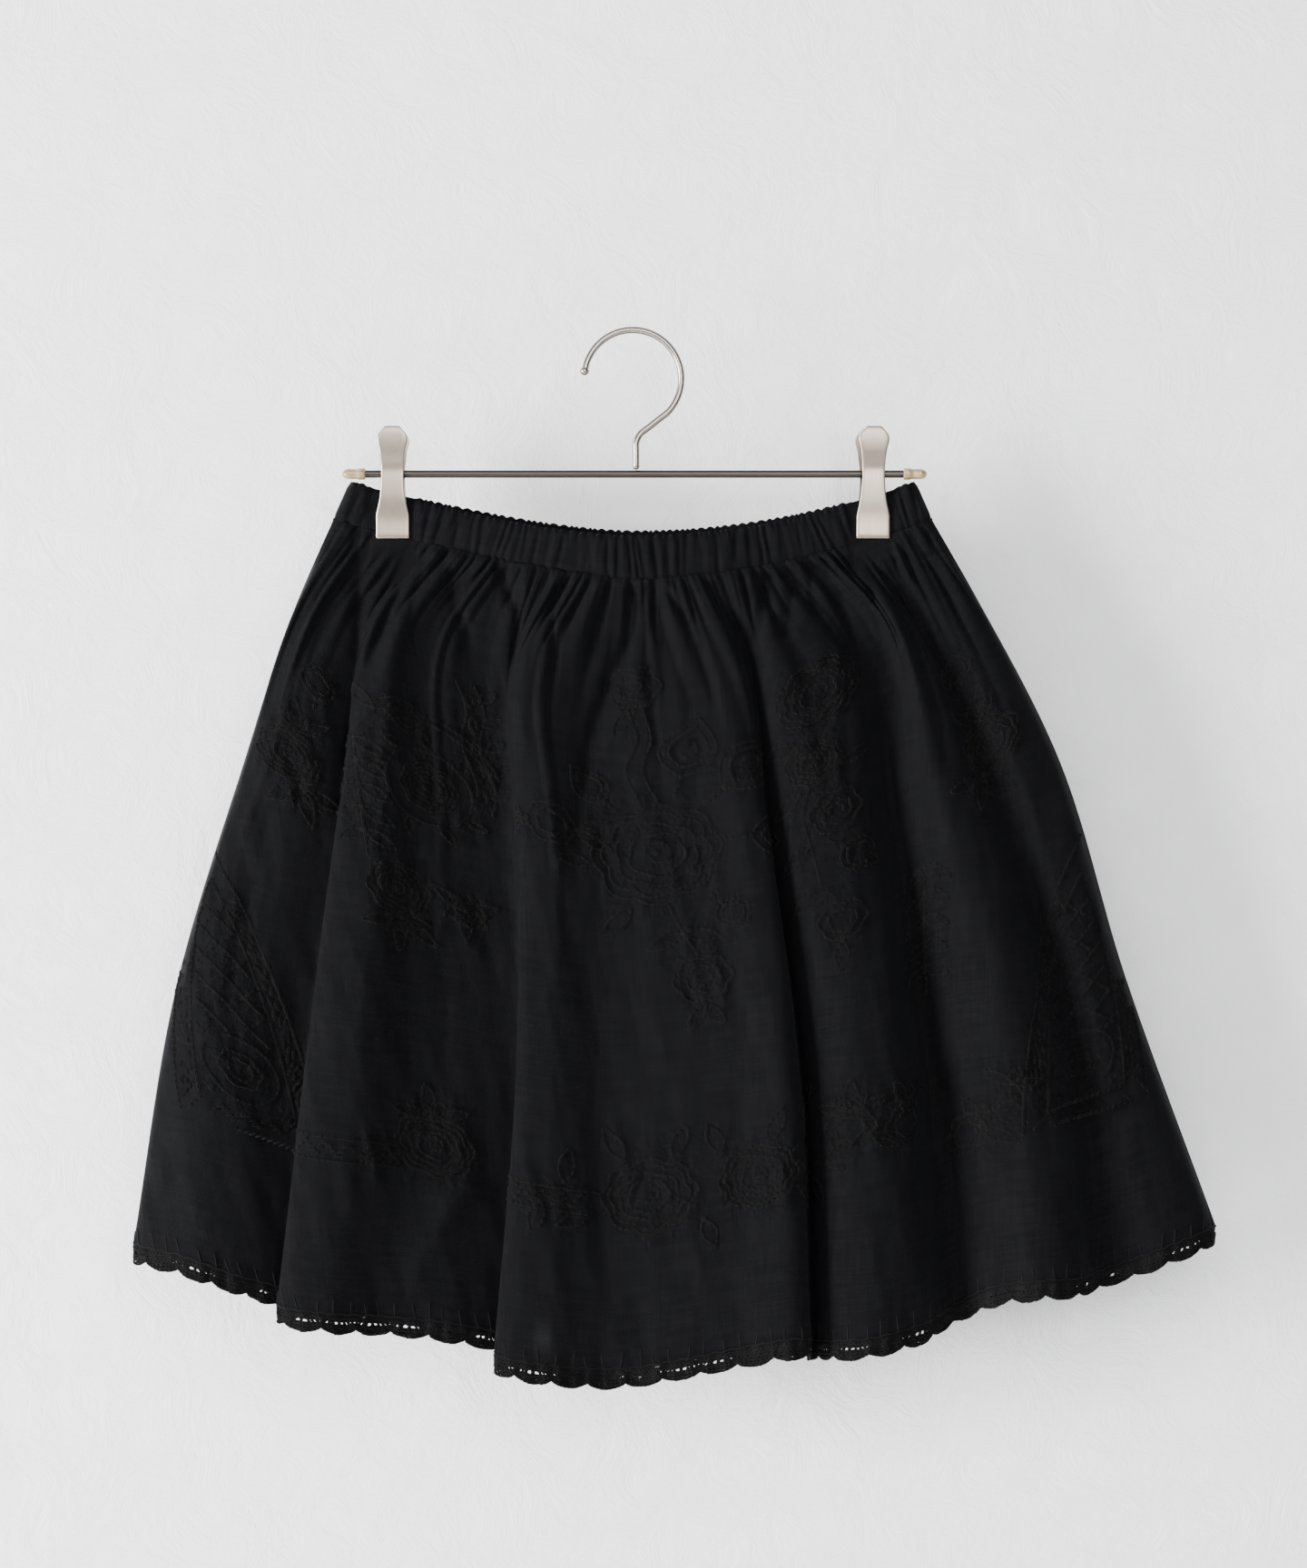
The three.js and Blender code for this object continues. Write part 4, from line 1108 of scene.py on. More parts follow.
def between(points, step=2.0):
    """A smooth line through a few points."""
    points = np.array(points, float)
    count = max(4, int(np.linalg.norm(np.diff(points, axis=0), axis=1).sum() / step))
    place = np.linspace(0, len(points) - 1, count)
    return rounded_curve(np.column_stack([points, np.zeros(len(points))])[None], place)[0][:, :2]


def sprays(lines, kind, *places):
    """Lines with more of a kind of motif: each at a place, turned, and of a length."""
    for at, turn, length in places:
        lines = lines + placed(kind(length), at, turn)
    return lines


def sprig(start, *leaves):
    """Leaves from one place: each is a direction and a length."""
    lines = []
    for turn, length in leaves:
        lines += placed(leaf(length, length * 0.44), start, turn)
    return lines


def posy():
    """The middle bouquet: a large rose with buds and leaves about it, flowers above and below."""
    lines = rose(27) + placed(flower(11.5, 6), (-7, 91)) + placed(flower(12.5, 6), (16, -70))
    lines += [
        between([(-9, 78), (-6, 62), (-11, 46), (-6, 29)]),
        between([(-3, 78), (0, 62), (-4, 46), (1, 29)]),
        between([(14, -56), (9, -44), (4, -29)]),
    ]
    lines = sprays(
        lines, bud, ((-16, 25), 2.3, 27), ((9, 32), 1.3, 40), ((22, 24), 0.72, 43), ((31, 2), -0.04, 38),
        ((22, -26), -0.95, 24),
    )
    lines += sprig((-12, -29), (-2.3, 17)) + sprig((-7, 78), (-2.2, 14)) + sprig((-28, -4), (3.3, 15))
    lines += sprig((9, -44), (-2.7, 16), (-0.3, 16)) + sprig((16, -84), (-2.1, 14), (-1.0, 14))
    return lines


def side_flower():
    """A round flower at the side with sprigs of leaves above and below it."""
    lines = rose(14.5) + placed(spray(20, 5, -2.5, 2.1), (3, -15)) + placed(spray(18, 4, 0.4, 1.5), (6, 14))
    return lines + placed(bud(24), (18, 30), 1.2)


def tall_sprig():
    """A tall sprig: a large flower on top, then a rose, flowers and leaves down its stem."""
    lines = rose(18) + placed(rose(12), (2, -36)) + placed(flower(11.5, 6), (13, -64))
    lines += placed(bud(27), (12, -80), -0.7) + placed(flower(10.5, 6), (17, -122))
    lines += [between([(1, -49), (-1, -62), (4, -84), (10, -112)])]
    lines += sprig((-8, -24), (3.5, 17)) + sprig((-3, -52), (3.8, 18)) + sprig((2, -80), (3.9, 18))
    return lines + sprig((10, -106), (3.6, 17)) + sprig((14, -40), (0.3, 15)) + sprig((17, -133), (-1.6, 15))


def leaf_column(count, length):
    """Leaves in pairs down a short stem."""
    gap = length * 0.8
    lines = [np.column_stack([np.zeros(12), -np.linspace(0, gap * count, 12)])]
    for k in range(count):
        lines += sprig((0, -gap * k), (-0.5, length), (3.64, length * 0.8))
    return lines


def wreath():
    """A rose in a ring of small leaves, under an arching double line."""
    lines = rose(13) + [arc_line(19.5, 0, 2 * math.pi)]
    for k in range(9):
        a = 2 * math.pi * k / 9
        lines += placed(leaf(9.5, 4.6), (20.5 * math.cos(a), 20.5 * math.sin(a)), a + 0.5)
    return lines + [arc_line(31, 0.35, 2.6, (0, 4)), arc_line(35, 0.35, 2.6, (0, 4))]


def climber(height):
    """Two waving stems side by side with buds between them and leaves outside."""
    up = np.linspace(0, height, int(height / 2))
    wave = 2.2 * np.sin(up / 7)
    lines = [np.column_stack([wave - 4, up]), np.column_stack([wave + 4, up])]
    for k in range(int(height / 13)):
        lines += sprig((5, 8 + 13 * k), (0.7, 11)) + placed(leaf(8, 4.2), (0, 3 + 13 * k), 1.5)
    return lines


def lattice(inside, low, high, pitch):
    """Crossing diagonal lines where inside(x, y) is true."""
    lines = []
    reach = high[0] - low[0] + high[1] - low[1]
    for slope in (1, -1):
        for offset in np.arange(-reach, reach, pitch * math.sqrt(2)):
            x = np.arange(low[0], high[0], 1.2)
            line = np.column_stack([x, slope * x + offset])
            lines += stretches(line, inside(line[:, 0], line[:, 1]))
    return lines


def arch_line(half, height, inset, t):
    """Points up one side of a pointed arch, at shares t of its height; inset moves it inwards."""
    t = np.asarray(t, float)
    return np.column_stack([(half - inset) * (1 - t**2) ** 0.85, inset + t * (height - 2.8 * inset)])


def zigzag(along, one, other):
    """Corners along x at two heights in turn."""
    even = np.arange(len(along)) % 2 == 0
    return np.column_stack([along, np.where(even, one, other)])


def arch_panel():
    """A tall pointed arch: a zigzag border, a ringed flower at its foot and lattice above that."""
    half, height = 32, 148
    t = np.linspace(0, 1, 60)
    lines = []
    for inset in (0, 11):
        side = arch_line(half, height, inset, t)
        lines.append(np.concatenate([side * [-1, 1], side[::-1], [side[0] * [-1, 1]]]))
    corners = np.linspace(0.03, 0.86, 30)
    wide = arch_line(half, height, 2.4, corners)
    narrow = arch_line(half, height, 8.8, corners)
    border = np.where((np.arange(30) % 2 == 0)[:, None], wide, narrow)
    lines += [border * [-1, 1], border, zigzag(np.arange(-27, 28, 5.0), 2.4, 8.6)]
    ring = (0, 31)

    def worked(x, up):
        """Whether a place is in the lattice: inside the arch and off the flower's ring."""
        share = np.clip((up - 12) / (height - 34), 0, 1)
        width = (half - 14) * (1 - share**2) ** 0.85
        return (np.abs(x) < width) & (up > 15) & (up < height - 30) & (np.hypot(x, up - ring[1]) > 19)

    lines += lattice(worked, (-half, 10), (half, height), 11)
    return lines + placed(flower(9.5, 6), ring) + [arc_line(16.5, 0, 2 * math.pi, ring)]


def zigzag_border(start, end, height, pitch=9.0):
    """Two lines with a zigzag between them, from start to end across the cloth."""
    x = np.linspace(start, end, max(2, int(abs(end - start) / 3)))
    corners = zigzag(np.arange(start, end, pitch / 2), 2.6, height - 2.6)
    return [np.column_stack([x, 0 * x]), corners, np.column_stack([x, 0 * x + height])]


def garland():
    """The lower garland: two roses, flowers and leaves along a waving stem."""
    lines = rose(20) + placed(rose(17), (45, 1)) + placed(flower(10, 5), (76, 32))
    lines += [
        between([(-58, 2), (-46, -5), (-30, 4), (-21, 2)]),
        between([(62, 6), (78, -4), (96, 6), (112, 2)]),
        between([(60, 12), (68, 20), (73, 24)]),
    ]
    return sprays(
        lines, lambda length: leaf(length, length * 0.42),
        ((-10, 20), 2.0, 19), ((10, 19), 1.2, 17), ((30, 17), 1.9, 17), ((50, 19), 1.2, 17),
        ((-24, -8), -2.6, 17), ((22, -17), -1.3, 16), ((62, -8), -0.6, 18), ((78, 2), 1.2, 15),
        ((92, -2), -0.9, 16), ((106, 6), 0.8, 15), ((84, 38), 0.9, 14), ((-36, 6), 1.4, 18),
        ((-46, -6), -1.8, 17),
    )


def leafy(middle, radius, count, start, sweep, at):
    """A flower or rose with leaves fanned out from a place on it."""
    return middle + placed(spray(radius, count, start, sweep), at)


# Where the motifs are seen on the front: the motif, then x and z in millimetres. The back has the
# same ones, the other way round
MOTIFS = [
    (posy, 14, -286),
    (garland, 10, -472),
    (side_flower, -188, -230),
    (tall_sprig, 101, -199),
    (arch_panel, -207, -440),
    (arch_panel, 246, -436),
    (lambda: flipped(side_flower()), 196, -226),
    (wreath, -112, -250),
    (lambda: leafy(rose(14.5), 19, 6, -2.9, 2.7, (0, -15)), -127, -305),
    (lambda: bud(26) + sprig((0, 0), (2.3, 16), (0.6, 15)), -141, -206),
    (lambda: leaf_column(5, 15), -152, -222),
    (lambda: climber(66), -82, -262),
    (lambda: flower(8.5, 5) + spray(17, 6, 0.4, 5.2), -92, -318),
    (lambda: leafy(leafy(flower(11, 6), 17, 3, -0.5, 1.0, (11, 0)), 17, 3, 2.6, 1.0, (-11, 0)), -44, -268),
    (lambda: leaf_column(5, 16), 160, -296),
    (lambda: leafy(rose(17), 18, 5, 0.3, 2.6, (0, 15)) + placed(leaf(20, 8), (-15, -6), 3.5), -107, -447),
    (lambda: zigzag_border(-30, 34, 12), -166, -452),
    (lambda: zigzag_border(-16, 22, 12, 8), -54, -478),
    (lambda: leafy(flower(11, 6), 17, 5, 0.2, 2.7, (0, 9)) + placed(leaf(19, 8), (9, -6), -0.5), 117, -434),
    (lambda: leafy(flower(10.5, 6), 16, 4, 0.3, 2.5, (0, 9)), 148, -430),
    (lambda: leafy(flower(11, 6), 20, 5, -0.6, 2.6, (8, 2)), 181, -440),
    (lambda: spray(15, 5, 0, 5), 206, -411),
]


def embroidery_lines(panel):
    """All of a panel's embroidery in cloth measure."""
    mirror = -panel.side.sign
    lines = []
    for motif, x, z in MOTIFS:
        across, down = panel.find(mirror * x, z)
        wider = mirror * panel.turned_away(across, down)
        for line in motif():
            lines.append(np.column_stack([across + wider * line[:, 0], down - line[:, 1]]))
    return lines


# Stitches, made by nodes along lines

def line_piece(name, laid):
    """An object of bare lines whose points know the direction out of the cloth."""
    points = np.concatenate([p for p, _ in laid])
    ups = np.concatenate([n for _, n in laid])
    edges = []
    start = 0
    for p, _ in laid:
        edges += [(start + k, start + k + 1) for k in range(len(p) - 1)]
        start += len(p)
    mesh = bpy.data.meshes.new(name)
    mesh.from_pydata((points * MM).tolist(), edges, [])
    attribute = mesh.attributes.new("up", "FLOAT_VECTOR", "POINT")
    attribute.data.foreach_set("vector", ups.astype(np.float32).ravel())
    piece = bpy.data.objects.new(name, mesh)
    bpy.context.scene.collection.objects.link(piece)
    return piece


def new_geometry_tree(name, inputs):
    """A Geometry Nodes tree with a geometry in and out, and further inputs as (name, kind, default)."""
    tree = bpy.data.node_groups.new(name, "GeometryNodeTree")
    tree.interface.new_socket("Geometry", in_out="OUTPUT", socket_type="NodeSocketGeometry")
    for label, kind, default in [("Geometry", "NodeSocketGeometry", None), *inputs]:
        socket = tree.interface.new_socket(label, in_out="INPUT", socket_type=kind)
        if default is not None:
            socket.default_value = default
    return tree, node(tree, "NodeGroupInput", (-900, 0)).outputs


def finish_tree(tree, geometry, material):
    """Makes the instances real, sets their material and puts them out."""
    real = node(tree, "GeometryNodeRealizeInstances", (450, 100), geometry)
    painted = node(tree, "GeometryNodeSetMaterial", (650, 100), real.outputs[0], Material=material)
    node(tree, "NodeGroupOutput", (900, 0), painted.outputs[0])
    return tree


def stitch_tree():
    """Places a stitch again and again along lines, end to end, flat on the cloth."""
    if "stitches_along_lines" in bpy.data.node_groups:
        return bpy.data.node_groups["stitches_along_lines"]
    tree, given = new_geometry_tree("stitches_along_lines", [
        ("Stitch", "NodeSocketObject", None), ("Spacing", "NodeSocketFloat", 0.0037),
        ("Unevenness", "NodeSocketFloat", 0.12), ("Seed", "NodeSocketInt", 7),
        ("Material", "NodeSocketMaterial", None),
    ])
    curve = node(tree, "GeometryNodeMeshToCurve", (-650, 100), given["Geometry"])
    points = node(
        tree, "GeometryNodeCurveToPoints", (-450, 100), curve.outputs[0], mode="LENGTH",
        Length=given["Spacing"],
    )
    along = node(
        tree, "FunctionNodeAlignRotationToVector", (-200, -50), axis="X", Vector=points.outputs["Tangent"],
    )
    up = node(tree, "GeometryNodeInputNamedAttribute", (-450, -250), data_type="FLOAT_VECTOR", Name="up")
    flat = node(
        tree, "FunctionNodeAlignRotationToVector", (0, -50), axis="Z", pivot_axis="X",
        Rotation=along.outputs[0], Vector=up.outputs[0],
    )
    stitch = node(tree, "GeometryNodeObjectInfo", (-200, 300), given["Stitch"])
    least = maths(tree, "SUBTRACT", (-450, -450), 1.0, given["Unevenness"])
    most = maths(tree, "ADD", (-450, -600), 1.0, given["Unevenness"])
    size = node(
        tree, "FunctionNodeRandomValue", (-200, -450), None, None, least, most, data_type="FLOAT",
        Seed=given["Seed"],
    )
    placed_on = node(
        tree, "GeometryNodeInstanceOnPoints", (250, 100), points.outputs[0],
        Instance=stitch.outputs["Geometry"], Rotation=flat.outputs[0], Scale=size.outputs[1],
    )
    return finish_tree(tree, placed_on.outputs[0], given["Material"])


def thread_tree():
    """A round thread along each line."""
    if "thread_along_lines" in bpy.data.node_groups:
        return bpy.data.node_groups["thread_along_lines"]
    tree, given = new_geometry_tree("thread_along_lines", [
        ("Radius", "NodeSocketFloat", 0.0005), ("Material", "NodeSocketMaterial", None),
    ])
    curve = node(tree, "GeometryNodeMeshToCurve", (-600, 100), given["Geometry"])
    section = node(
        tree, "GeometryNodeCurvePrimitiveCircle", (-600, -150), Resolution=THREAD_SIDES,
        Radius=given["Radius"],
    )
    sweep = node(
        tree, "GeometryNodeCurveToMesh", (-300, 100), curve.outputs[0], section.outputs[0], Fill_Caps=True,
    )
    return finish_tree(tree, sweep.outputs[0], given["Material"])


def grown(piece, tree, **inputs):
    """Runs a Geometry Nodes tree on a piece, keeps its result as the mesh, and drops the modifier."""
    modifier = piece.modifiers.new("stitches", "NODES")
    modifier.node_group = tree
    identifiers = {item.name: item.identifier for item in tree.interface.items_tree if item.in_out == "INPUT"}
    for name, value in inputs.items():
        modifier[identifiers[name]] = value
    bpy.context.view_layer.update()
    graph = bpy.context.evaluated_depsgraph_get()
    mesh = bpy.data.meshes.new_from_object(piece.evaluated_get(graph), depsgraph=graph)
    piece.modifiers.remove(modifier)
    if "up" in mesh.attributes:
        mesh.attributes.remove(mesh.attributes["up"])
    mesh.shade_smooth()
    piece.data = mesh
    if not mesh.polygons:
        raise RuntimeError(f"{piece.name} came out empty")
    return piece


def loop_stitch(name, length, width, thread, segments=5):
    """One link of a chain: a pointed oval ring of thread, three-sided in section, about its centre."""
    points = []
    for k in range(segments):
        a = 2 * math.pi * k / segments
        narrow = 1 - 0.3 * math.cos(a)
        out = np.array([math.cos(a), math.sin(a), 0])
        up = np.array([0, 0, 0.85])
        centre = out * [length / 2, width / 2 * narrow, 0] + [0, 0, 0.25 * thread * math.cos(a)]
        for turn in (math.pi / 2, 7 * math.pi / 6, 11 * math.pi / 6):
            points.append(centre + thread * (out * math.cos(turn) + up * math.sin(turn)))
    stitch = tidy(mesh_piece(name, points, ring_faces(segments, 3, True), None))
    stitch.hide_render = True
    return stitch


def stitched(name, laid, stitch, spacing, unevenness, seed, material):
    """A piece of stitches along lines on the cloth."""
    return grown(
        line_piece(name, laid), stitch_tree(), Stitch=stitch, Spacing=spacing, Unevenness=unevenness,
        Seed=seed, Material=material,
    )


# Crochet edging

def hem_frame(panel):
    """The hem's own middle line, its length so far and the direction out of it."""
    line = panel.points[-1] - panel.normals[-1] * LACE_HALF_THICKNESS
    return line, run_of(line), unit(panel.normals[-1] * np.array([1, 1, 0]))


def crochet_lines(panel):
    """The edging as lines of loops: a header, then for each shell two rows and a rim, and its posts."""
    line, along, out = hem_frame(panel)
    total = along[-1]
    width = total / SCALLOPS
    random = np.random.default_rng(panel.side.seed + 30)

    def lay(places, below, forward=0.0):
        """A row of loops at places along the hem, below it by some millimetres."""
        places = np.clip(np.asarray(places, float), LACE_MARGIN, total - LACE_MARGIN)
        base = np.column_stack([np.interp(places, along, line[:, k]) for k in range(3)])
        normal = unit(np.column_stack([np.interp(places, along, out[:, k]) for k in range(3)]))
        base[:, 2] -= np.asarray(below, float)
        return base + normal * forward, normal

    whole = np.arange(LACE_MARGIN, total, HEADER_PITCH)
    laid = [
        lay(whole, 0.9 + 0.2 * np.sin(whole / 3), 0.25),
        lay(whole, 2.1 + 0.2 * np.sin(whole / 4 + 1), -0.2),
    ]
    for n in range(SCALLOPS):
        start = n * width
        deep = random.uniform(-0.4, 0.4)
        t = np.linspace(0.03, 0.97, 18)
        bulge = np.sin(math.pi * t) ** 0.55
        for foot, reach, uneven, forward in SHELL_ROWS:
            laid.append(lay(start + width * t, foot + (reach + uneven * deep) * bulge, forward))
        for k, place in enumerate(SHELL_POSTS):
            lean = (place - 0.5) * 0.16 + random.uniform(-0.03, 0.03)
            v = np.linspace(0, 1, 4)
            laid.append(lay(start + width * (place + lean * v), 2.2 + 3.0 * v, 0.15 * (-1) ** k))
        if random.uniform() < CLOSED_SLOTS:
            row = start + width * np.linspace(0.2, 0.8, 9)
            laid.append(lay(row, 3.5 + random.uniform(-0.3, 0.3), 0.2))
    return laid


def blanket_lines(panel, spacing):
    """Blanket stitches over the hem: upright threads and the thread that joins them at the edge."""
    random = np.random.default_rng(panel.side.seed + 40)
    last = panel.across[-1]
    lines = []
    for a in np.arange(last[0] + 10, last[-1] - 10, spacing):
        a += random.uniform(-1.8, 1.8)
        tall = random.uniform(6.5, 10.5)
        lean = random.uniform(-1.8, 1.8)
        down = np.linspace(DROP_CENTRE - 0.5, DROP_CENTRE - tall, 5)
        lines.append(np.column_stack([a + lean * (DROP_CENTRE - down) / tall, down]))
    run = np.arange(last[0] + 4, last[-1] - 4, 2.2)
    lines.append(np.column_stack([run, DROP_CENTRE - 1.2 + 0.4 * np.sin(run * 0.7)]))
    return [panel.on_cloth(line, BLANKET_LIFT) for line in lines]


# Waistband

def band_grids(side, cloth):
    """Outer and inner points of a half of the band, with its ruches and its frilled top edge, and how
    far across and down its cloth each point is."""
    shares = np.linspace(-1, 1, BAND_COLUMNS + 1)
    down = np.linspace(0, 1, BAND_ROWS)[:, None]
    top = side.waist(shares, WAIST_HALF_TOP, TOP_EDGE, 0)
    seam = side.waist(shares, WAIST_HALF_SEAM, SEAM_EDGE, SEAM_GAP)
    base = top[None] * (1 - down)[..., None] + seam[None] * down[..., None]
    random = np.random.default_rng(side.seed + 50)
    heights = random.uniform(0.4, 1, BAND_RUCHES)
    lean = 0.016 * np.sin(9 * shares + side.seed) + 0.012 * np.sin(31 * shares + 2 * side.seed)
    moved = np.clip(shares[None] + lean[None] * (down - 0.5), -EDGE_OF_CLOTH, EDGE_OF_CLOTH)
    i, within = cell(uneven_edges(BAND_RUCHES, 0.62, side.seed + 51), moved)
    ridge = np.abs(np.sin(np.pi * within)) ** 0.85 * heights[i]
    ridge += 0.1 * ripples(shares[None] * WAIST_HALF_SEAM, down * 11, 5, 6, side.seed + 53)
    _, within = cell(uneven_edges(FRILLS, 0.5, side.seed + 52), shares)
    frill = np.abs(np.sin(np.pi * within))
    puff = np.sin(np.pi * np.clip(down, 0.02, 0.98)) ** 0.5
    free = clip_free(base[..., 0]) * smooth_step(0, 0.03, 1 - np.abs(shares))[None]
    height = free * cloth.ruche_depth / MM * (ridge * (0.35 + 0.65 * puff) + 0.35 * puff)
    height += free * FRILL_OUT * frill[None] * smooth_step(0.25, 0, down)
    normals = outward(base, side.sign)
    outer = base + normals * height[..., None]
    frilled = (FRILL_UP * frill * free[0])[None] * smooth_step(0.2, 0, down)
    frilled = frilled - 0.8 * ridge * free * smooth_step(0.75, 1, down)
    outer[..., 2] += frilled
    rim = np.array([0.9, 0.35] + [0.0] * (BAND_ROWS - 4) + [0.2, 0.6])
    outer = outer - normals * rim[:, None, None]
    inner = base - normals * (cloth.band_wall / MM)
    inner[..., 2] += frilled
    across, down = np.broadcast_arrays(run_of(base[-1])[None] * RUCHE_FULLNESS, down * BAND_HEIGHT)
    return outer, inner, across, down


# Hanger

WIRE_R = 1.9
HOOK_R = 26.8
HOOK_START = 171
HOOK_END = -43
HOOK_TIP_R = 2.6
STEM_X = 1.9
STEM_BEND_Z = -57.3
BAR_Z = -77.5
BAR_R = 2.1
BAR_HALF = 155
BAR_SHIFT = 1
CAP_R = 2.8
CAP_COLLAR_R = 3.2
CAP_LENGTH = 13
CAP_BORED = 0.55
CLIP_PLATE = 1.2
CLIP_HANDLE_OUT = 9.5
CLIP_TOP_Z = -51.8
CLIP_BOTTOM_Z = -113.3
CLIP_BACK_EXTRA = 2
CLIP_TURN = 4
SPRING_R = 5.6
SPRING_LENGTH = 9
SPRING_WIRE_R = 0.62
SPRING_GAP = 0.12  # between two turns of the coil
JAW_FLARE = 0.4
ROUND_SIDES = 24
WIRE_SIDES = 20
SPRING_SIDES = 7
CHAMFER = 0.4

# A clip's plate: share of its height down, half width, and how far its inner face is from the
# mid-plane above the jaw
PLATE_STATIONS = [
    (0, 4, CLIP_HANDLE_OUT),
    (0.07, 7.75, CLIP_HANDLE_OUT),
    (0.22, 7.1, CLIP_HANDLE_OUT - 1),
    (0.38, 6.25, SPRING_R + SEAM_GAP),
    (0.48, 6.3, SPRING_R + SEAM_GAP),
    (0.66, 7.4, SPRING_R + SEAM_GAP - 0.6),
    (0.8, JAW_HALF, None),
    (1, JAW_HALF, None),
]

# Rolled edge of a plate: share of its half width, and how far it falls away there
ROLLED_EDGE = [(1, 0.75), (0.985, 0.4), (0.95, 0.13), (0.88, 0.02), (0.7, 0), (0.35, 0)]


def hook_path():
    """The wire's middle line: most of a ring, a slanting run and a straight stem."""
    centre_z = WIRE_R - HOOK_R
    angles = np.radians(np.linspace(HOOK_START, HOOK_END, 19))
    ring = np.column_stack([HOOK_R * np.cos(angles), np.zeros(19), centre_z + HOOK_R * np.sin(angles)])
    bend = np.array([STEM_X, 0, STEM_BEND_Z])
    run = [ring[-1] + (bend - ring[-1]) * share for share in (0.3, 0.6, 0.88)]
    foot = BAR_Z + BAR_R + SEAM_GAP
    stem = [(STEM_X, 0, STEM_BEND_Z - 3), (STEM_X, 0, STEM_BEND_Z - 7), (STEM_X, 0, foot + WIRE_R * 0.97)]
    route = np.concatenate([ring, run, stem])
    return rounded_curve(route[None], np.linspace(0, len(route) - 1, 150))[0]


def join(*bodies):
    """Points and faces of several bodies together."""
    points, faces, start = [], [], 0
    for body_points, body_faces in bodies:
        points.append(body_points)
        faces += [[i + start for i in face] for face in body_faces]
        start += len(body_points)
    return np.concatenate(points), faces


def hook_piece(material):
    """The hook's wire with a ball at its tip."""
    path = hook_path()
    swell = np.linspace(-1, 1, 13)
    middle = path[0] + swell[:, None] * np.array([[0, 0, 0.93]]) * HOOK_TIP_R
    round_off = HOOK_TIP_R * np.sqrt(np.maximum(0.04, 1 - swell**2))
    ball = tube(middle, round_off, WIRE_SIDES, closed_ends=False)
    points, faces = join(tube(path, WIRE_R, WIRE_SIDES), ball)
    return mesh_piece("hook_wire", points, faces, material)


def bar_piece(material):
    """The bar, a rod with broken edges."""
    end = [(BAR_HALF - CHAMFER, BAR_R), (BAR_HALF, BAR_R - CHAMFER), (BAR_HALF, 0)]
    profile = [
        *[(-x, r) for x, r in reversed(end)],
        *[(x, BAR_R) for x in np.linspace(-BAR_HALF + 8, BAR_HALF - 8, 15)],
        *end,
    ]
    points, faces = turned(profile, ROUND_SIDES)
    points += np.array([BAR_SHIFT, 0, BAR_Z])
    return tidy(mesh_piece("bar_rod", points, faces, material))


def cap_piece(name, sign, material):
    """A soft end cap: a bored collar, a waist and a rounded nose."""
    bore = BAR_R + 0.05
    bored = CAP_LENGTH * CAP_BORED
    turns = np.linspace(0, math.pi / 2, 9)
    nose = [(CAP_LENGTH * (0.72 + 0.28 * math.sin(a)), CAP_R * math.cos(a)) for a in turns]
    profile = [
        (bored, 0),
        (bored, bore),
        (0.25, bore),
        (0, bore + 0.3),
        (0.05, CAP_COLLAR_R - 0.35),
        (0.4, CAP_COLLAR_R),
        (CAP_LENGTH * 0.24, CAP_COLLAR_R),
        (CAP_LENGTH * 0.31, CAP_COLLAR_R - 0.15),
        (CAP_LENGTH * 0.35, CAP_R - 0.1),
        (CAP_LENGTH * 0.5, CAP_R),
        *nose[:-1],
        (CAP_LENGTH, 0),
    ]
    points, faces = turned(profile, ROUND_SIDES)
    start = BAR_HALF - bored + SEAM_GAP
    points = points * np.array([sign, 1, 1]) + np.array([BAR_SHIFT + sign * start, 0, BAR_Z])
    return tidy(mesh_piece(name, points, faces, material))


def plate_piece(name, x, sign, extra, degrees, material):
    """A clip's plate of sheet metal with rolled edges, turned on the bar."""
    turn = math.radians(degrees)
    jaw_out = BAND_PINCHED_OUT + SEAM_GAP + JAW_HALF * math.sin(turn)
    levels, halves, outs = zip(*PLATE_STATIONS)
    outs = [jaw_out + JAW_FLARE * (d < 0.9) if out is None else out for d, out in zip(levels, outs)]
    down = np.concatenate([[0, 0.012, 0.035, 0.07], np.linspace(0.1, 0.985, 44), [1]])
    half = np.maximum(through(levels, halves, down), 3.6)
    half[:4] = np.interp(down[:4], levels, halves)
    half = np.minimum(half, JAW_HALF)
    out = through(levels, outs, down)
    height = CLIP_TOP_Z - CLIP_BOTTOM_Z + extra
    across = np.array([(-a, roll) for a, roll in ROLLED_EDGE] + [(0, 0)] + ROLLED_EDGE[::-1], float)
    tip = 0.5 * np.exp(-((down / 0.012) ** 2)) + 0.5 * np.exp(-(((1 - down) / 0.012) ** 2))
    drop = across[None, :, 1] + tip[:, None]
    outer = np.zeros((len(down), len(across), 3))
    outer[..., 0] = half[:, None] * across[None, :, 0]
    outer[..., 2] = (CLIP_TOP_Z - down * height)[:, None]
    inner = outer.copy()
    outer[..., 1] = sign * (out[:, None] + CLIP_PLATE - np.minimum(drop, CLIP_PLATE - 0.25))
    inner[..., 1] = sign * out[:, None]
    piece = shell(name, outer, inner, sign, material)
    return turned_to(piece, x, 0, degrees)


def turned_to(piece, x, z, degrees):
    """Turns a piece about the upright through the origin and moves it to x, z."""
    place = Matrix.Translation((x * MM, 0, z * MM)) @ Matrix.Rotation(math.radians(degrees), 4, "Z")
    piece.data.transform(place)
    return tidy(piece)


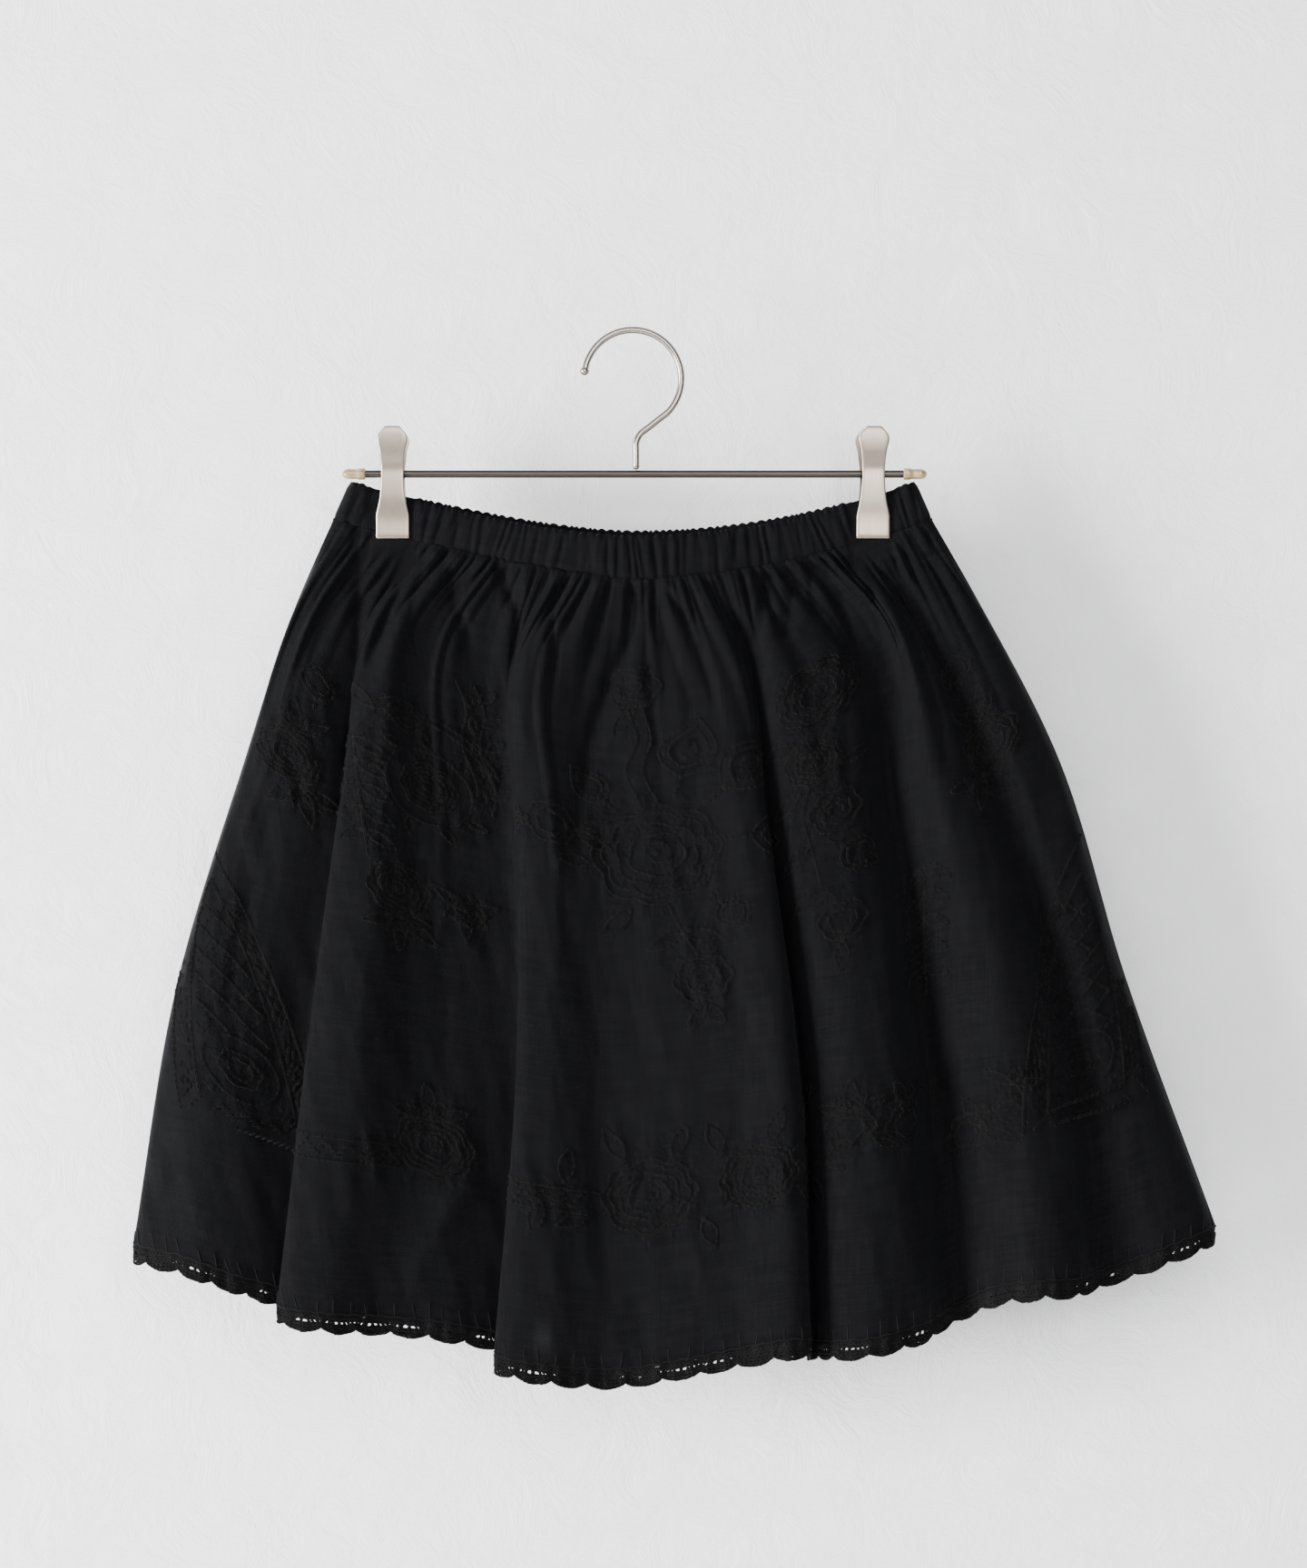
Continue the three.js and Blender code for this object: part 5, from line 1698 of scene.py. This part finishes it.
def spring_piece(name, x, degrees, material):
    """The coil spring round the bar between the plates."""
    turns = SPRING_LENGTH / (2 * SPRING_WIRE_R + SPRING_GAP) - 1
    a = np.linspace(0, 2 * math.pi * turns, int(turns * 22))
    coil_r = SPRING_R - SPRING_WIRE_R
    end = SPRING_LENGTH / 2 - SPRING_WIRE_R
    run = np.linspace(-end, end, len(a))
    path = np.column_stack([run, coil_r * np.cos(a + math.pi / 2), coil_r * np.sin(a + math.pi / 2)])
    points, faces = tube(path, SPRING_WIRE_R, SPRING_SIDES)
    return turned_to(mesh_piece(name, points, faces, material), x, BAR_Z, degrees)


# Operators, one for each group of pieces

def panels_of(scene):
    """The two finished panels' faces, worked out once and kept for the pieces that lie on them."""
    if not PANELS:
        for name, side in SIDES.items():
            panel = Panel(side, scene.skirt_cloth)
            panel.lines = embroidery_lines(panel)
            panel.work(panel.lines)
            if name == "front":
                panel.paint_see_through_light(*SEE_THROUGH_LIGHT_PATCH)
            PANELS[name] = panel
    return PANELS


PANELS = {}


class SKIRT_OT_panels(bpy.types.Operator):
    """Make the front and back panels with their folds, gathers and creases"""

    bl_idname = "skirt.panels"
    bl_label = "Cloth panels"

    def execute(self, context):
        cloth = context.scene.skirt_cloth
        material = cloth_material("black_plain_weave", cloth.color)
        for name, panel in panels_of(context.scene).items():
            inner = panel.points - panel.normals * (cloth.wall / MM)
            piece = shell(f"{name}_panel", panel.points, inner, panel.side.sign, material)
            lay_uv(piece, panel.across, panel.down)
            mark(piece, "worked", panel.worked)
            # the painted light and shade, for the material's colour
            mark(piece, "painted_light_and_shade", panel.painted_light_and_shade)
            settle(piece, "cloth", f"skirt_{name}")
        return {"FINISHED"}


class SKIRT_OT_waistband(bpy.types.Operator):
    """Make the two halves of the ruched waistband"""

    bl_idname = "skirt.waistband"
    bl_label = "Waistband"

    def execute(self, context):
        cloth = context.scene.skirt_cloth
        material = cloth_material("black_plain_weave", cloth.color)
        for name, side in SIDES.items():
            outer, inner, across, down = band_grids(side, cloth)
            piece = shell(f"{name}_waistband", outer, inner, side.sign, material)
            lay_uv(piece, across, down)
            # no painted light or shade on the band
            mark(piece, "painted_light_and_shade", np.ones(across.shape))
            settle(piece, "cloth", f"waistband_{name}")
        return {"FINISHED"}


class SKIRT_OT_embroidery(bpy.types.Operator):
    """Work the flowers, leaves, arches and borders in chain stitch on both panels"""

    bl_idname = "skirt.embroidery"
    bl_label = "Embroidery"

    def execute(self, context):
        thread = context.scene.skirt_thread
        material = thread_material("black_embroidery_cotton", thread.embroidery_color, 0.75, 0.01)
        length = thread.chain_length / MM * CHAIN_LENGTH_SHARE
        width = thread.chain_width / MM * CHAIN_WIDTH_SHARE
        stitch = loop_stitch("chain_link", length, width, CHAIN_THREAD)
        for name, panel in panels_of(context.scene).items():
            laid = panel.lay(panel.lines, CHAIN_LIFT)
            piece = stitched(
                f"{name}_embroidery", laid, stitch, thread.chain_length, CHAIN_UNEVENNESS, thread.seed,
                material,
            )
            settle(piece, "embroidery_thread")
        bpy.data.objects.remove(stitch)
        return {"FINISHED"}


class SKIRT_OT_hem(bpy.types.Operator):
    """Make the crochet edging and the blanket stitches above it"""

    bl_idname = "skirt.hem"
    bl_label = "Hem"

    def execute(self, context):
        thread = context.scene.skirt_thread
        crochet = thread_material("black_crochet_cotton", thread.crochet_color, 0.8, 0.01)
        length = thread.crochet_length / MM * CROCHET_LENGTH_SHARE
        stitch = loop_stitch("crochet_link", length, CROCHET_WIDTH, CROCHET_THREAD, CROCHET_SEGMENTS)
        for name, panel in panels_of(context.scene).items():
            piece = stitched(
                f"{name}_crochet_edging", crochet_lines(panel), stitch, thread.crochet_length,
                CROCHET_UNEVENNESS, thread.seed + 1, crochet,
            )
            settle(piece, "crochet_thread", f"hem_lace_{name}")
            lines = line_piece(f"{name}_blanket_stitches", blanket_lines(panel, thread.blanket_spacing / MM))
            grown(lines, thread_tree(), Radius=thread.blanket_radius, Material=crochet)
            settle(lines, "embroidery_thread")
        bpy.data.objects.remove(stitch)
        return {"FINISHED"}


class SKIRT_OT_hanger(bpy.types.Operator):
    """Make the hanger's hook, bar, end caps, clips and springs"""

    bl_idname = "skirt.hanger"
    bl_label = "Hanger"

    def execute(self, context):
        hanger = context.scene.skirt_hanger
        wire = metal_material("satin_nickel_wire", hanger.wire_color, 0.26, (300, 300, 300))
        rod = metal_material("satin_nickel_rod", hanger.bar_color, 0.3, (60, 900, 900))
        plate = metal_material("satin_nickel_plate", hanger.clip_color, 0.38, (1200, 1200, 40))
        amber = cap_material("soft_amber_cap", hanger.cap_color)
        settle(hook_piece(wire), "hanger_wire", "hanger_hook")
        settle(bar_piece(rod), "hanger_wire", "hanger_bar")
        for side, sign in (("left", -1), ("right", 1)):
            degrees = CLIP_TURN if sign > 0 else 0
            settle(cap_piece(f"{side}_end_cap", sign, amber), "end_cap", f"hanger_cap_{side}")
            for face, facing, extra in (("front", -1, 0), ("back", 1, CLIP_BACK_EXTRA)):
                piece = plate_piece(f"{side}_clip_{face}_plate", sign * CLIP_X, facing, extra, degrees, plate)
                settle(piece, "clip_metal", f"clip_{side}_{face}")
            spring = spring_piece(f"{side}_clip_coil", sign * CLIP_X, degrees, wire)
            settle(spring, "hanger_wire", f"clip_{side}_spring")
        return {"FINISHED"}


class SKIRT_OT_declare(bpy.types.Operator):
    """Does nothing"""

    bl_idname = "skirt.declare"
    bl_label = "Sheets of cloth"

    def execute(self, context):
        return {"FINISHED"}


# Studio

WALL_Y = 0.062
FLOOR_Z = -1.8
STAGE_HALF = 3.5
WALL_TOP = 3.2
CAMERA_AT = (0.0115, -2.4, -0.2483)
CAMERA_LENS = 100
CAMERA_SENSOR = 36
ROOM_COLOR = (0.92, 0.95, 1, 1)
LIGHTS_AIM = (0.02, 0, -0.32)

# Each light's place, size and share of the key light's power
LIGHTS = [
    ("key_light", (-2.5, -1.45, -0.35), (1.3, 1.3), 1),
    ("window_light", (-0.2, -3.4, 1.3), (2.6, 2.6), 0.4),
    ("clip_light", (0.75, -3.0, 0.15), (0.6, 1.2), 0.13),
    ("back_left_light", (-1.6, 2.4, 1.2), (1.4, 1.4), 0.8),
    ("back_right_light", (2.2, 2.0, 0.4), (1.6, 1.6), 0.1),
]


def flat_stage(name, corners, material):
    """A flat four-cornered piece of the studio."""
    piece = mesh_piece(name, np.array(corners, float) / MM, [[0, 1, 2, 3]], material, smooth=False)
    return piece


def stage_material(name, color, see_through_back):
    """Matt plaster; a backdrop can't be seen from behind and shades nothing behind it."""
    material, tree, shader = new_material(name, Base_Color=(*color, 1), Roughness=0.9, Specular_IOR_Level=0.1)
    place = object_place(tree, (-600, 0))
    plaster = noise(tree, (-350, 0), place, Scale=26.0, Detail=10.0, Roughness=0.74, Distortion=1.2)
    bumped(tree, shader, plaster, 0.5, 0.006)
    if see_through_back:
        behind = node(tree, "ShaderNodeNewGeometry", (300, 400)).outputs["Backfacing"]
        shadow = node(tree, "ShaderNodeLightPath", (300, 700)).outputs["Is Shadow Ray"]
        either = maths(tree, "MAXIMUM", (500, 500), behind, shadow)
        clear = node(tree, "ShaderNodeBsdfTransparent", (600, 250)).outputs[0]
        mix = node(tree, "ShaderNodeMixShader", (800, 200), either, shader.outputs[0], clear)
        feed(tree, tree.nodes["Material Output"].inputs[0], mix.outputs[0])
    return material


def area_light(name, place, size, power):
    """A soft rectangular light that looks at the skirt."""
    data = bpy.data.lights.new(name, "AREA")
    data.shape = "RECTANGLE"
    data.size, data.size_y = size
    data.energy = power
    light = bpy.data.objects.new(name, data)
    light.location = place
    light.rotation_euler = (Vector(LIGHTS_AIM) - Vector(place)).to_track_quat("-Z", "Y").to_euler()
    bpy.context.scene.collection.objects.link(light)


class SKIRT_OT_stage(bpy.types.Operator):
    """Set up the pale wall and floor, the soft lights and the camera"""

    bl_idname = "skirt.stage"
    bl_label = "Studio"

    def execute(self, context):
        look = context.scene.skirt_stage
        corners = [(-STAGE_HALF, 0), (STAGE_HALF, 0), (STAGE_HALF, 1), (-STAGE_HALF, 1)]
        wall = [(x, WALL_Y, WALL_TOP if far else FLOOR_Z) for x, far in corners]
        ground = [(x, STAGE_HALF if far else -STAGE_HALF, FLOOR_Z) for x, far in corners]
        flat_stage("backdrop", wall, stage_material("pale_plaster_wall", look.wall_color, True))
        flat_stage("floor", ground, stage_material("pale_floor", look.wall_color, False))
        for name, place, size, share in LIGHTS:
            area_light(name, place, size, look.key_power * share)
        world = bpy.data.worlds.new("pale_room")
        world.use_nodes = True
        background = world.node_tree.nodes["Background"]
        background.inputs["Color"].default_value = ROOM_COLOR
        background.inputs["Strength"].default_value = look.world_strength
        context.scene.world = world
        data = bpy.data.cameras.new("camera")
        data.lens, data.sensor_width = CAMERA_LENS, CAMERA_SENSOR
        camera = bpy.data.objects.new("camera", data)
        camera.location = CAMERA_AT
        camera.rotation_euler = (math.pi / 2, 0, 0)
        context.scene.collection.objects.link(camera)
        context.scene.camera = camera
        return {"FINISHED"}


class SKIRT_PT_panel(bpy.types.Panel):
    """Lists the skirt's pieces and their settings"""

    bl_idname = "SKIRT_PT_panel"
    bl_label = "Embroidered skirt"
    bl_space_type = "VIEW_3D"
    bl_region_type = "UI"
    bl_category = "Skirt"

    def draw(self, context):
        scene = context.scene
        for operator in OPERATORS:
            self.layout.operator(operator.bl_idname)
        for group in (scene.skirt_cloth, scene.skirt_thread, scene.skirt_hanger, scene.skirt_stage):
            box = self.layout.box()
            for name in group.bl_rna.properties.keys():
                if name not in ("rna_type", "name"):
                    box.prop(group, name)


GROUPS = {
    "skirt_cloth": ClothSettings, "skirt_thread": ThreadSettings, "skirt_hanger": HangerSettings,
    "skirt_stage": StageSettings,
}
OPERATORS = (
    SKIRT_OT_stage, SKIRT_OT_panels, SKIRT_OT_waistband, SKIRT_OT_embroidery, SKIRT_OT_hem, SKIRT_OT_hanger,
    SKIRT_OT_declare,
)


def register():
    """Adds the skirt's settings, operators and panel to Blender."""
    for group in (*GROUPS.values(), *OPERATORS, SKIRT_PT_panel):
        bpy.utils.register_class(group)
    for name, group in GROUPS.items():
        setattr(bpy.types.Scene, name, PointerProperty(type=group))


def unregister():
    """Takes them out again."""
    for name in GROUPS:
        delattr(bpy.types.Scene, name)
    for group in reversed((*GROUPS.values(), *OPERATORS, SKIRT_PT_panel)):
        bpy.utils.unregister_class(group)


def main():
    """Builds the whole scene."""
    register()
    bpy.ops.skirt.stage()
    bpy.ops.skirt.panels()
    bpy.ops.skirt.waistband()
    bpy.ops.skirt.embroidery()
    bpy.ops.skirt.hem()
    bpy.ops.skirt.hanger()
    bpy.ops.skirt.declare()


if __name__ == "__main__":
    main()
